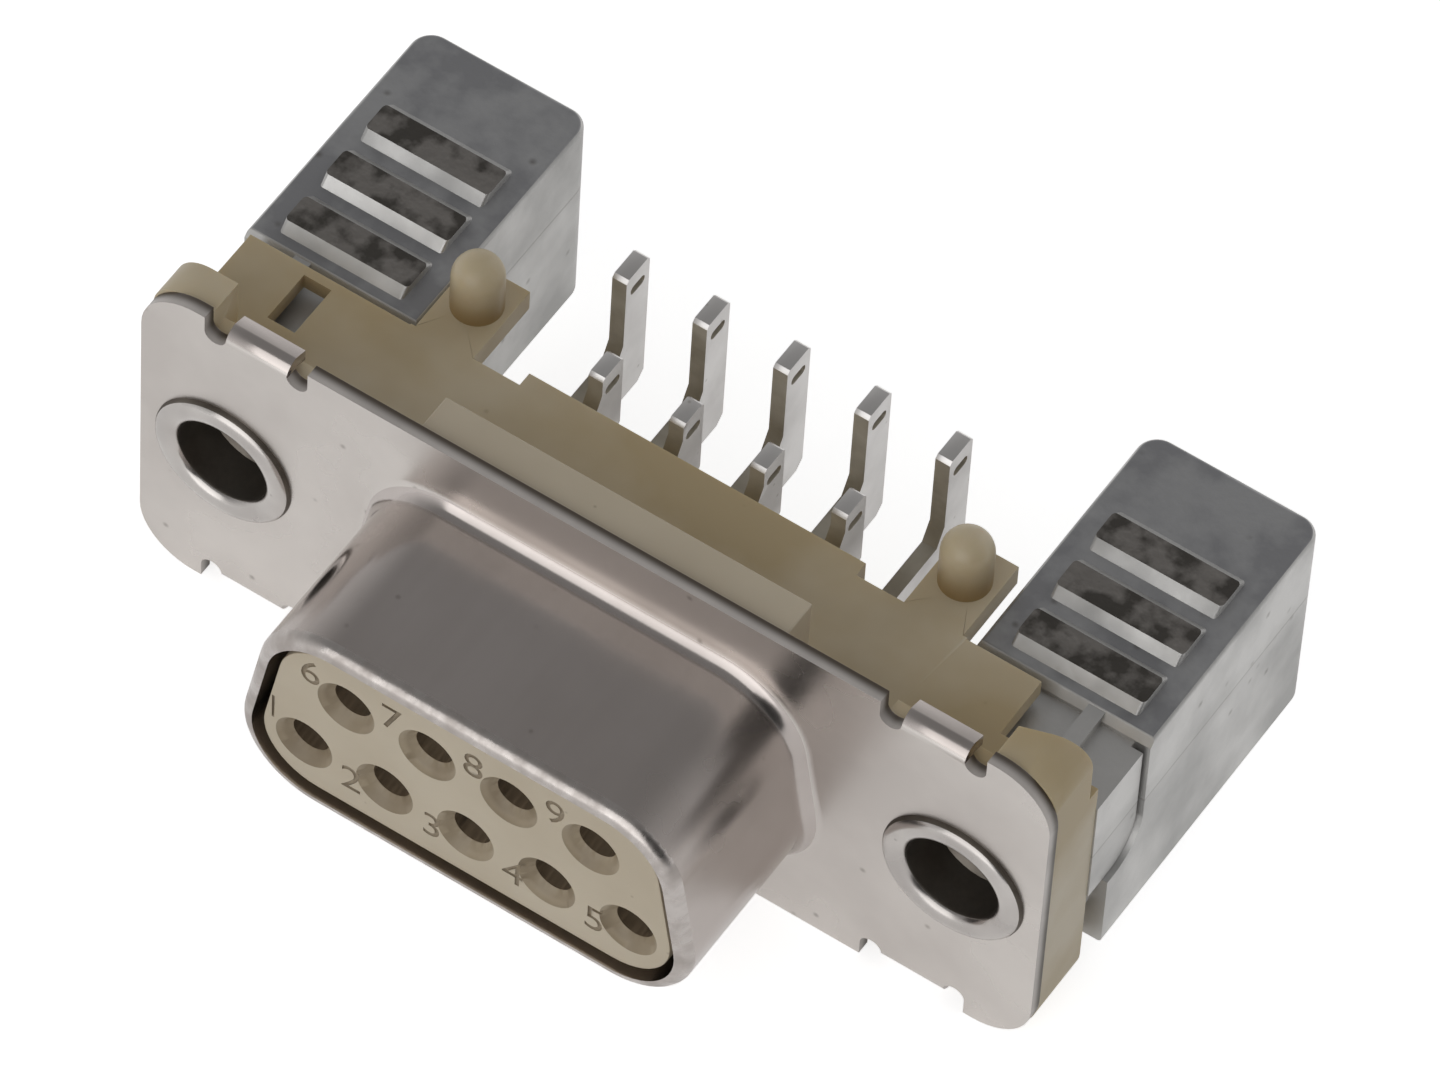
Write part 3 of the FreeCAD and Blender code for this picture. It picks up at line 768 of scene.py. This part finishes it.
# Amber pegs with painted shade: the band at Z 3.45 mm darkens each peg towards its base, where it meets the
# roof.
PEG_AMBER_WITH_PAINTED_SHADE = Finish(
    "amber_peg_with_painted_shade", (0.62, 0.53, 0.37), (0.54, 0.45, 0.29), roughness=0.38, cloud_scale=500.0, bump=0.12,
    bump_depth=0.01, subsurface=0.2, subsurface_scale=0.7, stain=(0.26, 0.165, 0.06),
    seam_place=3.45, seam_width=1.6, seam_strength=0.9,
)
CAST_SIDES = Finish(
    "cast_zinc", (0.61, 0.60, 0.585), (0.49, 0.485, 0.475), metallic=0.85, roughness=0.46,
    roughness_drift=0.22, cloud_scale=330.0, fine_scale=3500.0, dent_scale=420.0, dent_share=0.7,
    bump=0.4, bump_depth=0.06, stain=(0.17, 0.15, 0.13), pit_scale=800.0, pit_size=0.14,
    pit_strength=0.55, seam_place=0.0, seam_width=0.07, seam_strength=0.35,
)
# Painted shade: the block tops are a darker copy of the cast zinc, standing for the dim light from above.
CAST_TOPS_PAINTED_SHADE = Finish(
    "cast_zinc_tops_painted_shade", (0.44, 0.44, 0.445), (0.31, 0.31, 0.32), metallic=0.85, roughness=0.5,
    roughness_drift=0.25, cloud_scale=520.0, cloud_low=0.4, cloud_high=0.6, fine_scale=3500.0,
    dent_scale=480.0, dent_share=0.7, bump=0.5, bump_depth=0.06, stain=(0.12, 0.105, 0.09),
    pit_scale=850.0, pit_size=0.16, pit_strength=0.6,
)
# Painted shade: the rib tops are a much darker copy of the cast zinc for the dim light from above; their
# roughness and bumps are not painted.
CAST_RIB_TOPS_PAINTED_SHADE = Finish(
    "rough_rib_tops_painted_shade", (0.22, 0.205, 0.19), (0.075, 0.068, 0.06), metallic=0.6, roughness=0.55,
    roughness_drift=0.3, cloud_scale=1100.0, cloud_low=0.42, cloud_high=0.58, fine_scale=2600.0,
    dent_scale=1300.0, dent_share=0.7, bump=0.9, bump_depth=0.1,
)
TURNED_NICKEL = Finish(
    "turned_nickel", (0.58, 0.55, 0.525), (0.48, 0.45, 0.43), metallic=1.0, roughness=0.24,
    cloud_scale=500.0, bump=0.12, bump_depth=0.02, stain=(0.14, 0.12, 0.1), pit_scale=1500.0,
    pit_size=0.12, pit_strength=0.4,
)
# Painted shade: the low outer flank of the bush's ring is painted dark for its shadowed edge.
RING_FLANK_PAINTED_SHADE = Finish(
    "ring_flank_painted_shade", (0.15, 0.13, 0.11), (0.09, 0.075, 0.06), metallic=0.7, roughness=0.5,
    cloud_scale=800.0, bump=0.2, bump_depth=0.02,
)
# Painted shade: the bore and thread are painted dark for the shade inside the hole.
BORE_PAINTED_SHADE = Finish(
    "bore_painted_shade", (0.22, 0.20, 0.175), (0.14, 0.12, 0.10), metallic=0.9, roughness=0.42,
    cloud_scale=700.0, bump=0.2, bump_depth=0.02,
)
MATT_TIN = Finish(
    "matt_tin_faces", (0.72, 0.70, 0.685), (0.63, 0.61, 0.595), metallic=1.0, roughness=0.33,
    cloud_scale=500.0, bump=0.15, bump_depth=0.02, stain=(0.2, 0.17, 0.13), pit_scale=1300.0,
    pit_size=0.12, pit_strength=0.45,
)
SHEARED_EDGE = Finish(
    "sheared_copper_edges", (0.55, 0.51, 0.43), (0.40, 0.355, 0.28), metallic=0.25, roughness=0.45,
    cloud_scale=600.0, bump=0.5, bump_depth=0.03, line_stretch=(0.15, 1.0, 1.0), line_strength=0.6,
    stain=(0.12, 0.095, 0.065),
)


class FinishShelf:
    """Builds each finish the first time it is asked for."""

    def __init__(self) -> None:
        """Start with the shared effects and no materials."""
        self.effects = EffectGroups()
        self._made: dict[str, bpy.types.Material] = {}

    def take(self, finish: Finish) -> bpy.types.Material:
        """Get a finish's material.

        Args:
            finish: The finish.

        Returns:
            Its one material.
        """
        if finish.name not in self._made:
            self._made[finish.name] = finish.build(self.effects)
        return self._made[finish.name]


@dataclass
class FrontShell:
    """The drawn shell, with the small rounds and dull cut edges that a pressed sheet has, and painted shadow
    at the back of its cut edges.
    """

    edge_round: float = 0.06
    lip_rear: float = -5.7
    sheet: float = 0.45
    fold_half_width: float = 9.6
    fold_half_height: float = 5.2
    bush_x: float = 12.495
    bush_hole: float = 2.4
    tab_x: float = 11.45
    tab_half_width: float = 1.07
    tab_root: float = 5.3

    def build(self, shelf: FinishShelf) -> None:
        """Args:
            shelf: Where the finishes come from.
        """
        piece = detailed_copy("front_shell")
        round_edges(piece, self.edge_round * MM)
        dress(piece, shelf.take(SATIN_NICKEL))
        dress_faces(piece, shelf.take(LIP_NICKEL), self.is_lip)
        dress_faces(piece, shelf.take(FLANGE_NICKEL), self.is_flange_face)
        # The flange's cut edges get painted shadow near their rear.
        dress_faces(piece, shelf.take(SHEARED_STEEL_WITH_PAINTED_SHADOW), self.is_cut_edge)
        declare(piece, ["front_shell"])

    def past_fold(self, place: Vector) -> bool:
        """Say whether a place on the flange is well outside the fold round the D."""
        return abs(place.x) > self.fold_half_width * MM or abs(place.z) > self.fold_half_height * MM

    def is_lip(self, centre: Vector, normal: Vector) -> bool:
        """Say whether a face is on the lip at the D's mouth."""
        return centre.y < self.lip_rear * MM

    @staticmethod
    def is_flange_face(centre: Vector, normal: Vector) -> bool:
        """Say whether a face is on the flange's flat front."""
        return normal.y < -NORMAL_LIMIT and centre.y > -NEAR * MM

    def is_cut_edge(self, centre: Vector, normal: Vector) -> bool:
        """Say whether a face is on the flange's sheared outline, away from fold, holes and tabs.

        Args:
            centre: The face's centre.
            normal: Its normal.

        Returns:
            Whether it is.
        """
        x, y, z = abs(centre.x / MM), centre.y / MM, abs(centre.z / MM)
        on_edge = abs(normal.y) < SIDEWAYS_LIMIT and 0 < y < self.sheet
        past_hole = math.hypot(x - self.bush_x, z) > self.bush_hole
        on_tab = abs(x - self.tab_x) < self.tab_half_width and z > self.tab_root
        return on_edge and self.past_fold(centre) and past_hole and not on_tab


@dataclass
class Insulator:
    """The ivory nose with its nine entries and the debossed contact numbers."""

    edge_round: float = 0.05
    face: float = -5.95
    pitch: float = 2.77
    row_height: float = 1.42
    long_row_count: int = 5
    short_row_count: int = 4
    funnel_radius: float = 0.99
    funnel_depth: float = 0.38
    funnel_margin: float = 0.02
    numeral_height: float = 1.05
    numeral_depth: float = 0.07
    numeral_margin: float = 0.01
    numeral_wall_limit: float = 0.1
    numeral_curve_steps: int = 4
    numeral_reach: float = 2.75
    first_width: float = 0.6
    first_shift: tuple[float, float] = (-1.08, 0.93)
    long_row_shift: tuple[float, float] = (-1.15, -0.45)
    short_row_shift: tuple[float, float] = (-1.23, 0.77)

    def build(self, shelf: FinishShelf) -> None:
        """Args:
            shelf: Where the finishes come from.
        """
        piece = detailed_copy("front_insulator")
        round_edges(piece, self.edge_round * MM, share=self.round_share)
        self.deboss(piece, self.numerals())
        even_shading(piece)
        dress(piece, shelf.take(IVORY_FACE))
        # Painted shade on the funnel walls.
        dress_faces(piece, shelf.take(FUNNEL_PAINTED_SHADE), self.in_a_funnel)
        # Painted shade on the entry walls.
        dress_faces(piece, shelf.take(ENTRY_PAINTED_SHADE), self.in_an_entry)
        # Painted shade in the numerals.
        dress_faces(piece, shelf.take(NUMERAL_PAINTED_SHADE), self.in_a_numeral)
        declare(piece, ["front_insulator"])

    def places(self) -> list[tuple[int, float, float]]:
        """List the contacts by row, the long row first.

        Returns:
            Each contact's number, X and Z, in millimetres.
        """
        made = []
        for count, z in ((self.long_row_count, -self.row_height), (self.short_row_count, self.row_height)):
            first = len(made) + 1
            made += [(first + i, (i - (count - 1) / 2) * self.pitch, z) for i in range(count)]
        return made

    def shift(self, number: int) -> tuple[float, float]:
        """Say how far a number stands from the middle of its entry.

        Args:
            number: The contact's number.

        Returns:
            The shifts along X and Z, in millimetres.
        """
        if number == 1:
            return self.first_shift
        return self.long_row_shift if number <= self.long_row_count else self.short_row_shift

    def numerals(self) -> bpy.types.Object:
        """Make the nine numerals as one solid that reaches just into the face.

        Returns:
            The joined numerals.
        """
        made = []
        for number, x, z in self.places():
            across, up = self.shift(number)
            made.append(self.numeral(number, (x + across) * MM, (z + up) * MM))
        deselect_all()
        for piece in made:
            piece.select_set(True)
        bpy.context.view_layer.objects.active = made[0]
        bpy.ops.object.join()
        return made[0]

    def numeral(self, number: int, x: float, z: float) -> bpy.types.Object:
        """Make one upright numeral, centred on a place on the face.

        Args:
            number: The contact's number.
            x: The middle's X in metres.
            z: The middle's Z in metres.

        Returns:
            The numeral as a solid mesh.
        """
        deselect_all()
        bpy.ops.object.text_add(rotation=(math.pi / 2, 0, 0))
        text = bpy.context.object
        text.data.body = str(number)
        text.data.extrude = self.numeral_depth
        text.data.resolution_u = self.numeral_curve_steps
        bpy.ops.object.convert(target="MESH")
        piece = bpy.context.object
        low = Vector([min(v.co[i] for v in piece.data.vertices) for i in range(3)])
        high = Vector([max(v.co[i] for v in piece.data.vertices) for i in range(3)])
        scale = self.numeral_height * MM / (high.y - low.y)
        across = scale * (self.first_width if number == 1 else 1.0)
        middle = (low + high) / 2
        piece.data.transform(Matrix.Translation(-middle))
        piece.data.transform(Matrix.Diagonal((across, scale, MM, 1)))
        piece.location = (x, self.face * MM, z)
        settle(piece)

        def clean() -> None:
            """Close the numeral and point its faces outwards."""
            bpy.ops.mesh.remove_doubles(threshold=WELD)
            bpy.ops.mesh.normals_make_consistent(inside=False)

        in_edit_mode(piece, clean)
        return piece

    @staticmethod
    def deboss(piece: bpy.types.Object, cutter: bpy.types.Object) -> None:
        """Press one solid's shape into another.

        Args:
            piece: The piece that is pressed.
            cutter: The solid that is pressed in, which is used up.
        """
        select_only(piece)
        cut = piece.modifiers.new("deboss", "BOOLEAN")
        cut.operation = "DIFFERENCE"
        cut.solver = "EXACT"
        cut.object = cutter
        bpy.ops.object.modifier_apply(modifier=cut.name)
        bpy.data.objects.remove(cutter)

    def from_nearest_entry(self, centre: Vector) -> float:
        """Measure how far a point is from the nearest entry's axis, in millimetres."""
        return min(math.hypot(centre.x / MM - x, centre.z / MM - z) for _, x, z in self.places())

    def round_share(self, middle: Vector) -> float:
        """Leave the edges at the entries crisp and round all others."""
        return 1.0 if self.from_nearest_entry(middle) > self.funnel_radius + NEAR else 0.0

    def in_a_funnel(self, centre: Vector, normal: Vector) -> bool:
        """Say whether a face is on the slope that leads into an entry.

        Args:
            centre: The face's centre.
            normal: Its normal, which is not used.

        Returns:
            Whether it is.
        """
        start, stop = self.face + self.funnel_margin, self.face + self.funnel_depth - self.funnel_margin
        sunk = start * MM < centre.y < stop * MM
        return sunk and self.from_nearest_entry(centre) < self.funnel_radius

    def in_an_entry(self, centre: Vector, normal: Vector) -> bool:
        """Say whether a face is on an entry's wall, past its funnel."""
        deep = (self.face + self.funnel_depth) * MM < centre.y < 0
        return deep and self.from_nearest_entry(centre) < self.funnel_radius

    def in_a_numeral(self, centre: Vector, normal: Vector) -> bool:
        """Say whether a face is inside a numeral.

        Args:
            centre: The face's centre.
            normal: Its normal.

        Returns:
            Whether it is.
        """
        start = self.face + self.numeral_margin
        stop = self.face + self.numeral_depth + self.numeral_margin
        sunk = start * MM < centre.y < stop * MM
        flat = abs(normal.y) > NORMAL_LIMIT or abs(normal.y) < self.numeral_wall_limit
        past_entries = self.from_nearest_entry(centre) > self.funnel_radius
        return sunk and flat and past_entries and abs(centre.z) < self.numeral_reach * MM


@dataclass
class Housing:
    """The rear moulding, with moulded edges rounded."""

    edge_round: float = 0.1
    peg_x: float = 8.34
    peg_y: float = 6.65
    peg_radius: float = 0.8
    roof_top: float = 3.4
    roof_margin: float = 0.01

    def build(self, shelf: FinishShelf) -> None:
        """Args:
            shelf: Where the finishes come from.
        """
        piece = detailed_copy("rear_housing", whole_faces=False)
        round_edges(piece, self.edge_round * MM)
        dress(piece, shelf.take(AMBER_HOUSING))
        # The pegs get painted shade towards their base.
        dress_faces(piece, shelf.take(PEG_AMBER_WITH_PAINTED_SHADE), self.on_a_peg)
        declare(piece, ["rear_housing"])

    def on_a_peg(self, centre: Vector, normal: Vector) -> bool:
        """Say whether a face is on one of the two board pegs."""
        away = math.hypot(abs(centre.x / MM) - self.peg_x, centre.y / MM - self.peg_y)
        return away < self.peg_radius + self.edge_round and centre.z > (self.roof_top + self.roof_margin) * MM


@dataclass
class Bracket:
    """A cast bracket with rough rib tops, and painted shade on the flat tops of its block and ribs."""

    side: Side
    edge_round: float = 0.08
    rib_top: float = 3.1
    block_front: float = 5.5
    block_top: float = 2.8

    def build(self, shelf: FinishShelf) -> None:
        """Args:
            shelf: Where the finishes come from.
        """
        node = self.side.value + "_bracket"
        piece = detailed_copy(node)
        round_edges(piece, self.edge_round * MM)
        dress(piece, shelf.take(CAST_SIDES))
        # Painted shade on the block tops.
        dress_faces(piece, shelf.take(CAST_TOPS_PAINTED_SHADE), self.is_block_top)
        # Painted shade on the rib tops.
        dress_faces(piece, shelf.take(CAST_RIB_TOPS_PAINTED_SHADE), self.is_rib_top)
        declare(piece, [node])

    def is_block_top(self, centre: Vector, normal: Vector) -> bool:
        """Say whether a face is on the block's flat top."""
        flat = normal.z > NORMAL_LIMIT and centre.y > self.block_front * MM
        return flat and abs(centre.z - self.block_top * MM) < NEAR * MM

    def is_rib_top(self, centre: Vector, normal: Vector) -> bool:
        """Say whether a face is on a rib's flat top."""
        return normal.z > NORMAL_LIMIT and centre.z > (self.rib_top - NEAR) * MM


@dataclass
class Bush:
    """A turned bush: a tube with a rolled ring at its mouth and a real thread inside."""

    side: Side
    tube_radius: float = 2.05
    ring_radius: float = 2.35
    ring_proud: float = 0.3
    plain_radius: float = 1.53
    groove_radius: float = 1.5
    crest_radius: float = 1.25
    rear: float = 7.7
    facets: int = 64
    round_steps: int = 12
    thread_pitch: float = 0.5
    thread_front: float = 1.2
    thread_turns: int = 12
    thread_facets: int = 32
    thread_lead_in: float = 0.1
    ridge_root: float = 0.02
    ridge_half_share: float = 0.42
    crest_start_share: float = 0.85
    crest_end_share: float = 1.15
    flank_band: float = 0.04
    bore_margin: float = 0.02
    sharp_degrees: float = 40.0

    def build(self, shelf: FinishShelf) -> None:
        """Args:
            shelf: Where the finishes come from.
        """
        node = self.side.value + "_bush"
        low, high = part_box(node)
        axis = Vector(((low[0] + high[0]) / 2, 0, (low[2] + high[2]) / 2))
        tube = self.turned_tube(node)
        thread = self.thread()
        deselect_all()
        thread.select_set(True)
        tube.select_set(True)
        bpy.context.view_layer.objects.active = tube
        bpy.ops.object.join()
        tube.location = axis
        settle(tube)
        smooth(tube, self.sharp_degrees)
        dress(tube, shelf.take(TURNED_NICKEL))
        # Painted shade on the ring's flank.
        dress_faces(tube, shelf.take(RING_FLANK_PAINTED_SHADE), lambda centre, normal: self.on_the_flank(centre - axis))
        # Painted shade in the bore.
        dress_faces(tube, shelf.take(BORE_PAINTED_SHADE), lambda centre, normal: self.in_the_bore(centre - axis))
        declare(tube, [node])

    def profile(self) -> list[tuple[float, float]]:
        """Draw up the tube's half section, from its rear round to its bore.

        Returns:
            Each corner's radius and Y, in millimetres.
        """
        crown = (self.ring_radius + self.plain_radius) / 2
        half = (self.ring_radius - self.plain_radius) / 2
        points = [(self.groove_radius, self.rear), (self.tube_radius, self.rear), (self.tube_radius, 0.0)]
        for step in range(self.round_steps + 1):
            angle = math.pi * step / self.round_steps
            points.append((crown + half * math.cos(angle), -self.ring_proud * math.sin(angle)))
        points.append((self.plain_radius, self.thread_front))
        points.append((self.groove_radius, self.thread_front + self.thread_lead_in))
        return points

    @staticmethod
    def drawn_chain(name: str, points: Sequence[tuple[float, float]]) -> bpy.types.Object:
        """Draw a closed chain of edges in the plane of X and Y from one corner.

        Args:
            name: The new piece's name.
            points: Each corner's X and Y in millimetres.

        Returns:
            The piece, with its origin on the axis.
        """
        deselect_all()
        bpy.ops.mesh.primitive_plane_add(size=MM)
        piece = bpy.context.object
        piece.name = name

        def draw() -> None:
            """Shrink the plane to one corner and extrude it from point to point."""
            bpy.ops.mesh.merge(type="CENTER")
            bpy.ops.transform.translate(value=(points[0][0] * MM, points[0][1] * MM, 0))
            at_x, at_y = points[0]
            for x, y in points[1:]:
                move = ((x - at_x) * MM, (y - at_y) * MM, 0)
                bpy.ops.mesh.extrude_region_move(TRANSFORM_OT_translate={"value": move})
                at_x, at_y = x, y

        in_edit_mode(piece, draw)
        return piece

    def turned_tube(self, name: str) -> bpy.types.Object:
        """Spin the half section round the axis.

        Args:
            name: The node that the bush stands for.

        Returns:
            The tube as a closed mesh.
        """
        piece = self.drawn_chain(name + "_turned", self.profile())

        def spin() -> None:
            """Turn the chain into the tube's skin."""
            bpy.ops.mesh.spin(steps=self.facets, angle=2 * math.pi, center=(0, 0, 0), axis=(0, 1, 0))
            bpy.ops.mesh.select_all(action="SELECT")
            bpy.ops.mesh.remove_doubles(threshold=WELD)
            bpy.ops.mesh.normals_make_consistent(inside=False)

        def close() -> None:
            """Bridge the skin's two open rims inside the bore."""
            bpy.ops.mesh.select_all(action="DESELECT")
            bpy.ops.mesh.select_non_manifold()
            bpy.ops.mesh.bridge_edge_loops()
            bpy.ops.mesh.select_all(action="SELECT")
            bpy.ops.mesh.normals_make_consistent(inside=False)

        in_edit_mode(piece, spin)
        in_edit_mode(piece, close)
        return piece

    def thread(self) -> bpy.types.Object:
        """Sweep the thread's ridge along its helix.

        Returns:
            The ridge as a closed mesh.
        """
        base = self.groove_radius + self.ridge_root
        half = self.thread_pitch * self.ridge_half_share
        front = self.thread_front
        ridge = [
            (base, front),
            (self.crest_radius, front + half * self.crest_start_share),
            (self.crest_radius, front + half * self.crest_end_share),
            (base, front + 2 * half),
        ]
        piece = self.drawn_chain("thread_ridge", ridge)

        def close_chain() -> None:
            """Join the chain's ends and leave edges only."""
            bpy.ops.mesh.edge_face_add()
            bpy.ops.mesh.delete(type="ONLY_FACE")

        in_edit_mode(piece, close_chain)
        select_only(piece)
        helix = piece.modifiers.new("helix", "SCREW")
        helix.axis = "Y"
        helix.angle = 2 * math.pi
        helix.screw_offset = self.thread_pitch * MM
        helix.iterations = self.thread_turns
        helix.steps = self.thread_facets
        helix.render_steps = self.thread_facets
        bpy.ops.object.modifier_apply(modifier=helix.name)

        def close_ends() -> None:
            """Cap the ridge at both ends."""
            bpy.ops.mesh.remove_doubles(threshold=WELD)
            bpy.ops.mesh.fill_holes(sides=4)
            bpy.ops.mesh.select_all(action="SELECT")
            bpy.ops.mesh.normals_make_consistent(inside=False)

        in_edit_mode(piece, close_ends)
        return piece

    def on_the_flank(self, centre: Vector) -> bool:
        """Say whether a face is low on the ring's outer side."""
        outside = math.hypot(centre.x, centre.z) > (self.ring_radius - self.flank_band) * MM
        return outside and centre.y < 0

    def in_the_bore(self, centre: Vector) -> bool:
        """Say whether a face is on the thread or the bore's wall."""
        inside = math.hypot(centre.x, centre.z) < (self.plain_radius + self.bore_margin) * MM
        return inside and -NEAR * MM < centre.y < (self.rear - NEAR) * MM


@dataclass
class Contact:
    """A stamped contact: plated faces and bare sheared edges."""

    number: int
    edge_round: float = 0.04
    blade_start: float = 1.0
    tip: float = 3.2
    edge_limit: float = 0.5

    def build(self, shelf: FinishShelf) -> None:
        """Args:
            shelf: Where the finishes come from.
        """
        node = "contact_" + str(self.number)
        piece = detailed_copy(node)
        round_edges(piece, self.edge_round * MM)
        dress(piece, shelf.take(MATT_TIN))
        dress_faces(piece, shelf.take(SHEARED_EDGE), self.is_sheared)
        declare(piece, [node])

    def is_sheared(self, centre: Vector, normal: Vector) -> bool:
        """Say whether a face is a bare edge of the blade, below its tip."""
        on_blade = centre.y > self.blade_start * MM and centre.z < self.tip * MM
        return on_blade and abs(normal.x) < self.edge_limit


@dataclass
class Studio:
    """The pale floor, the lamps and the camera at the photograph's angle."""

    azimuth: float = 30.4735
    elevation: float = 54.4031
    roll: float = 3.9527
    distance: float = 376.9
    shift_right: float = 3.8358
    shift_up: float = 3.5785
    focal_pixels: float = 13283.4
    image_width: float = 1440.0
    sensor_width: float = 36.0
    nearest_seen: float = 0.01
    floor_size: float = 3.0
    floor_tone: float = 0.86
    floor_roughness: float = 0.9
    floor_glow: float = 0.7
    mirrored_glow: float = 0.6
    horizon_strength: float = 0.76
    overhead_strength: float = 0.26
    fade_heights: tuple[float, float] = (0.1, 0.8)
    dim_corner: tuple[float, float, float] = (0.84, -0.43, 0.33)
    dim_share: float = 0.08
    dim_limits: tuple[float, float] = (0.7, 0.95)
    front_place: tuple[float, float, float] = (0.05, -0.93, 0.49)
    front_size: float = 1.1
    front_power: float = 4.1
    rear_place: tuple[float, float, float] = (0.35, 0.95, 0.45)
    rear_size: float = 0.6
    rear_power: float = 0.9

    def build(self) -> None:
        """Set up the whole studio."""
        self.add_camera()
        self.add_floor()
        self.add_lamps()
        self.set_world()

    def add_camera(self) -> None:
        """Place the camera."""
        a, e, r = (math.radians(v) for v in (self.azimuth, self.elevation, self.roll))
        back = Vector((math.sin(a) * math.cos(e), -math.cos(a) * math.cos(e), math.sin(e)))
        right = Vector((math.cos(a), math.sin(a), 0))
        up = back.cross(right)
        rolled_right = math.cos(r) * right + math.sin(r) * up
        rolled_up = math.cos(r) * up - math.sin(r) * right
        place = (rolled_right * self.shift_right + rolled_up * self.shift_up + back * self.distance) * MM
        lens = bpy.data.cameras.new("camera")
        lens.sensor_width = self.sensor_width
        lens.lens = self.focal_pixels / self.image_width * self.sensor_width
        lens.clip_start = self.nearest_seen
        camera = bpy.data.objects.new("camera", lens)
        bpy.context.scene.collection.objects.link(camera)
        turn = Matrix((rolled_right, rolled_up, back)).transposed().to_4x4()
        camera.matrix_world = Matrix.Translation(place) @ turn
        bpy.context.scene.camera = camera

    def add_floor(self) -> None:
        """Lay the floor just under the object."""
        low = CAD_BOX[0][2]
        deselect_all()
        bpy.ops.mesh.primitive_plane_add(size=self.floor_size, location=(0, 0, low))
        floor = bpy.context.object
        floor.name = "floor"
        material = bpy.data.materials.new("pale_floor")
        material.use_nodes = True
        tree = material.node_tree
        shader = tree.nodes["Principled BSDF"]
        shader.inputs["Base Color"].default_value = (self.floor_tone, self.floor_tone, self.floor_tone, 1)
        shader.inputs["Roughness"].default_value = self.floor_roughness
        rays = tree.nodes.new("ShaderNodeLightPath")
        mirrored = tree.nodes.new("ShaderNodeMath")
        mirrored.operation = "MULTIPLY"
        mirrored.inputs[1].default_value = self.mirrored_glow
        tree.links.new(rays.outputs["Is Glossy Ray"], mirrored.inputs[0])
        seen = tree.nodes.new("ShaderNodeMath")
        seen.operation = "MAXIMUM"
        tree.links.new(rays.outputs["Is Camera Ray"], seen.inputs[0])
        tree.links.new(mirrored.outputs[0], seen.inputs[1])
        glow = tree.nodes.new("ShaderNodeMath")
        glow.operation = "MULTIPLY"
        glow.inputs[1].default_value = self.floor_glow
        tree.links.new(seen.outputs[0], glow.inputs[0])
        shader.inputs["Emission Color"].default_value = (1, 1, 1, 1)
        tree.links.new(glow.outputs[0], shader.inputs["Emission Strength"])
        floor.data.materials.append(material)

    def add_lamps(self) -> None:
        """Hang the soft lamps."""
        self.soft_lamp("front_softbox", Vector(self.front_place), self.front_size, self.front_power)
        self.soft_lamp("rear_softbox", Vector(self.rear_place), self.rear_size, self.rear_power)

    @staticmethod
    def soft_lamp(name: str, place: Vector, size: float, power: float) -> None:
        """Add a square soft lamp that faces the object.

        Args:
            name: The lamp's name.
            place: Where it hangs, in metres.
            size: Its side, in metres.
            power: Its power in watts.
        """
        lamp = bpy.data.lights.new(name, "AREA")
        lamp.size = size
        lamp.energy = power
        holder = bpy.data.objects.new(name, lamp)
        bpy.context.scene.collection.objects.link(holder)
        holder.location = place
        holder.rotation_euler = (-place).to_track_quat("-Z", "Y").to_euler()

    def set_world(self) -> None:
        """Light the room dimly from above and brighter near the horizon, with one dim corner."""
        world = bpy.data.worlds.new("studio")
        bpy.context.scene.world = world
        world.use_nodes = True
        tree = world.node_tree
        background = tree.nodes["Background"]
        place = tree.nodes.new("ShaderNodeTexCoord")
        parts = tree.nodes.new("ShaderNodeSeparateXYZ")
        fade = tree.nodes.new("ShaderNodeMapRange")
        fade.inputs["From Min"].default_value = self.fade_heights[0]
        fade.inputs["From Max"].default_value = self.fade_heights[1]
        fade.inputs["To Min"].default_value = self.horizon_strength
        fade.inputs["To Max"].default_value = self.overhead_strength
        tree.links.new(place.outputs["Generated"], parts.inputs[0])
        tree.links.new(parts.outputs["Z"], fade.inputs["Value"])
        towards = tree.nodes.new("ShaderNodeVectorMath")
        towards.operation = "DOT_PRODUCT"
        towards.inputs[1].default_value = self.dim_corner
        dim = tree.nodes.new("ShaderNodeMapRange")
        dim.inputs["From Min"].default_value = self.dim_limits[0]
        dim.inputs["From Max"].default_value = self.dim_limits[1]
        dim.inputs["To Min"].default_value = 1.0
        dim.inputs["To Max"].default_value = self.dim_share
        strength = tree.nodes.new("ShaderNodeMath")
        strength.operation = "MULTIPLY"
        tree.links.new(place.outputs["Generated"], towards.inputs[0])
        tree.links.new(towards.outputs["Value"], dim.inputs["Value"])
        tree.links.new(fade.outputs["Result"], strength.inputs[0])
        tree.links.new(dim.outputs["Result"], strength.inputs[1])
        tree.links.new(strength.outputs[0], background.inputs["Strength"])
        background.inputs["Color"].default_value = (1, 1, 1, 1)


def main() -> None:
    """Build the studio and every piece in order."""
    logging.basicConfig(level=logging.INFO, format="%(message)s")
    bpy.context.scene.view_settings.view_transform = "Standard"
    deselect_all()
    shelf = FinishShelf()
    Studio().build()
    FrontShell().build(shelf)
    Insulator().build(shelf)
    Housing().build(shelf)
    for side in Side:
        Bracket(side).build(shelf)
        Bush(side).build(shelf)
    for number in range(1, CONTACT_COUNT + 1):
        Contact(number).build(shelf)


if __name__ == "__main__":
    main()
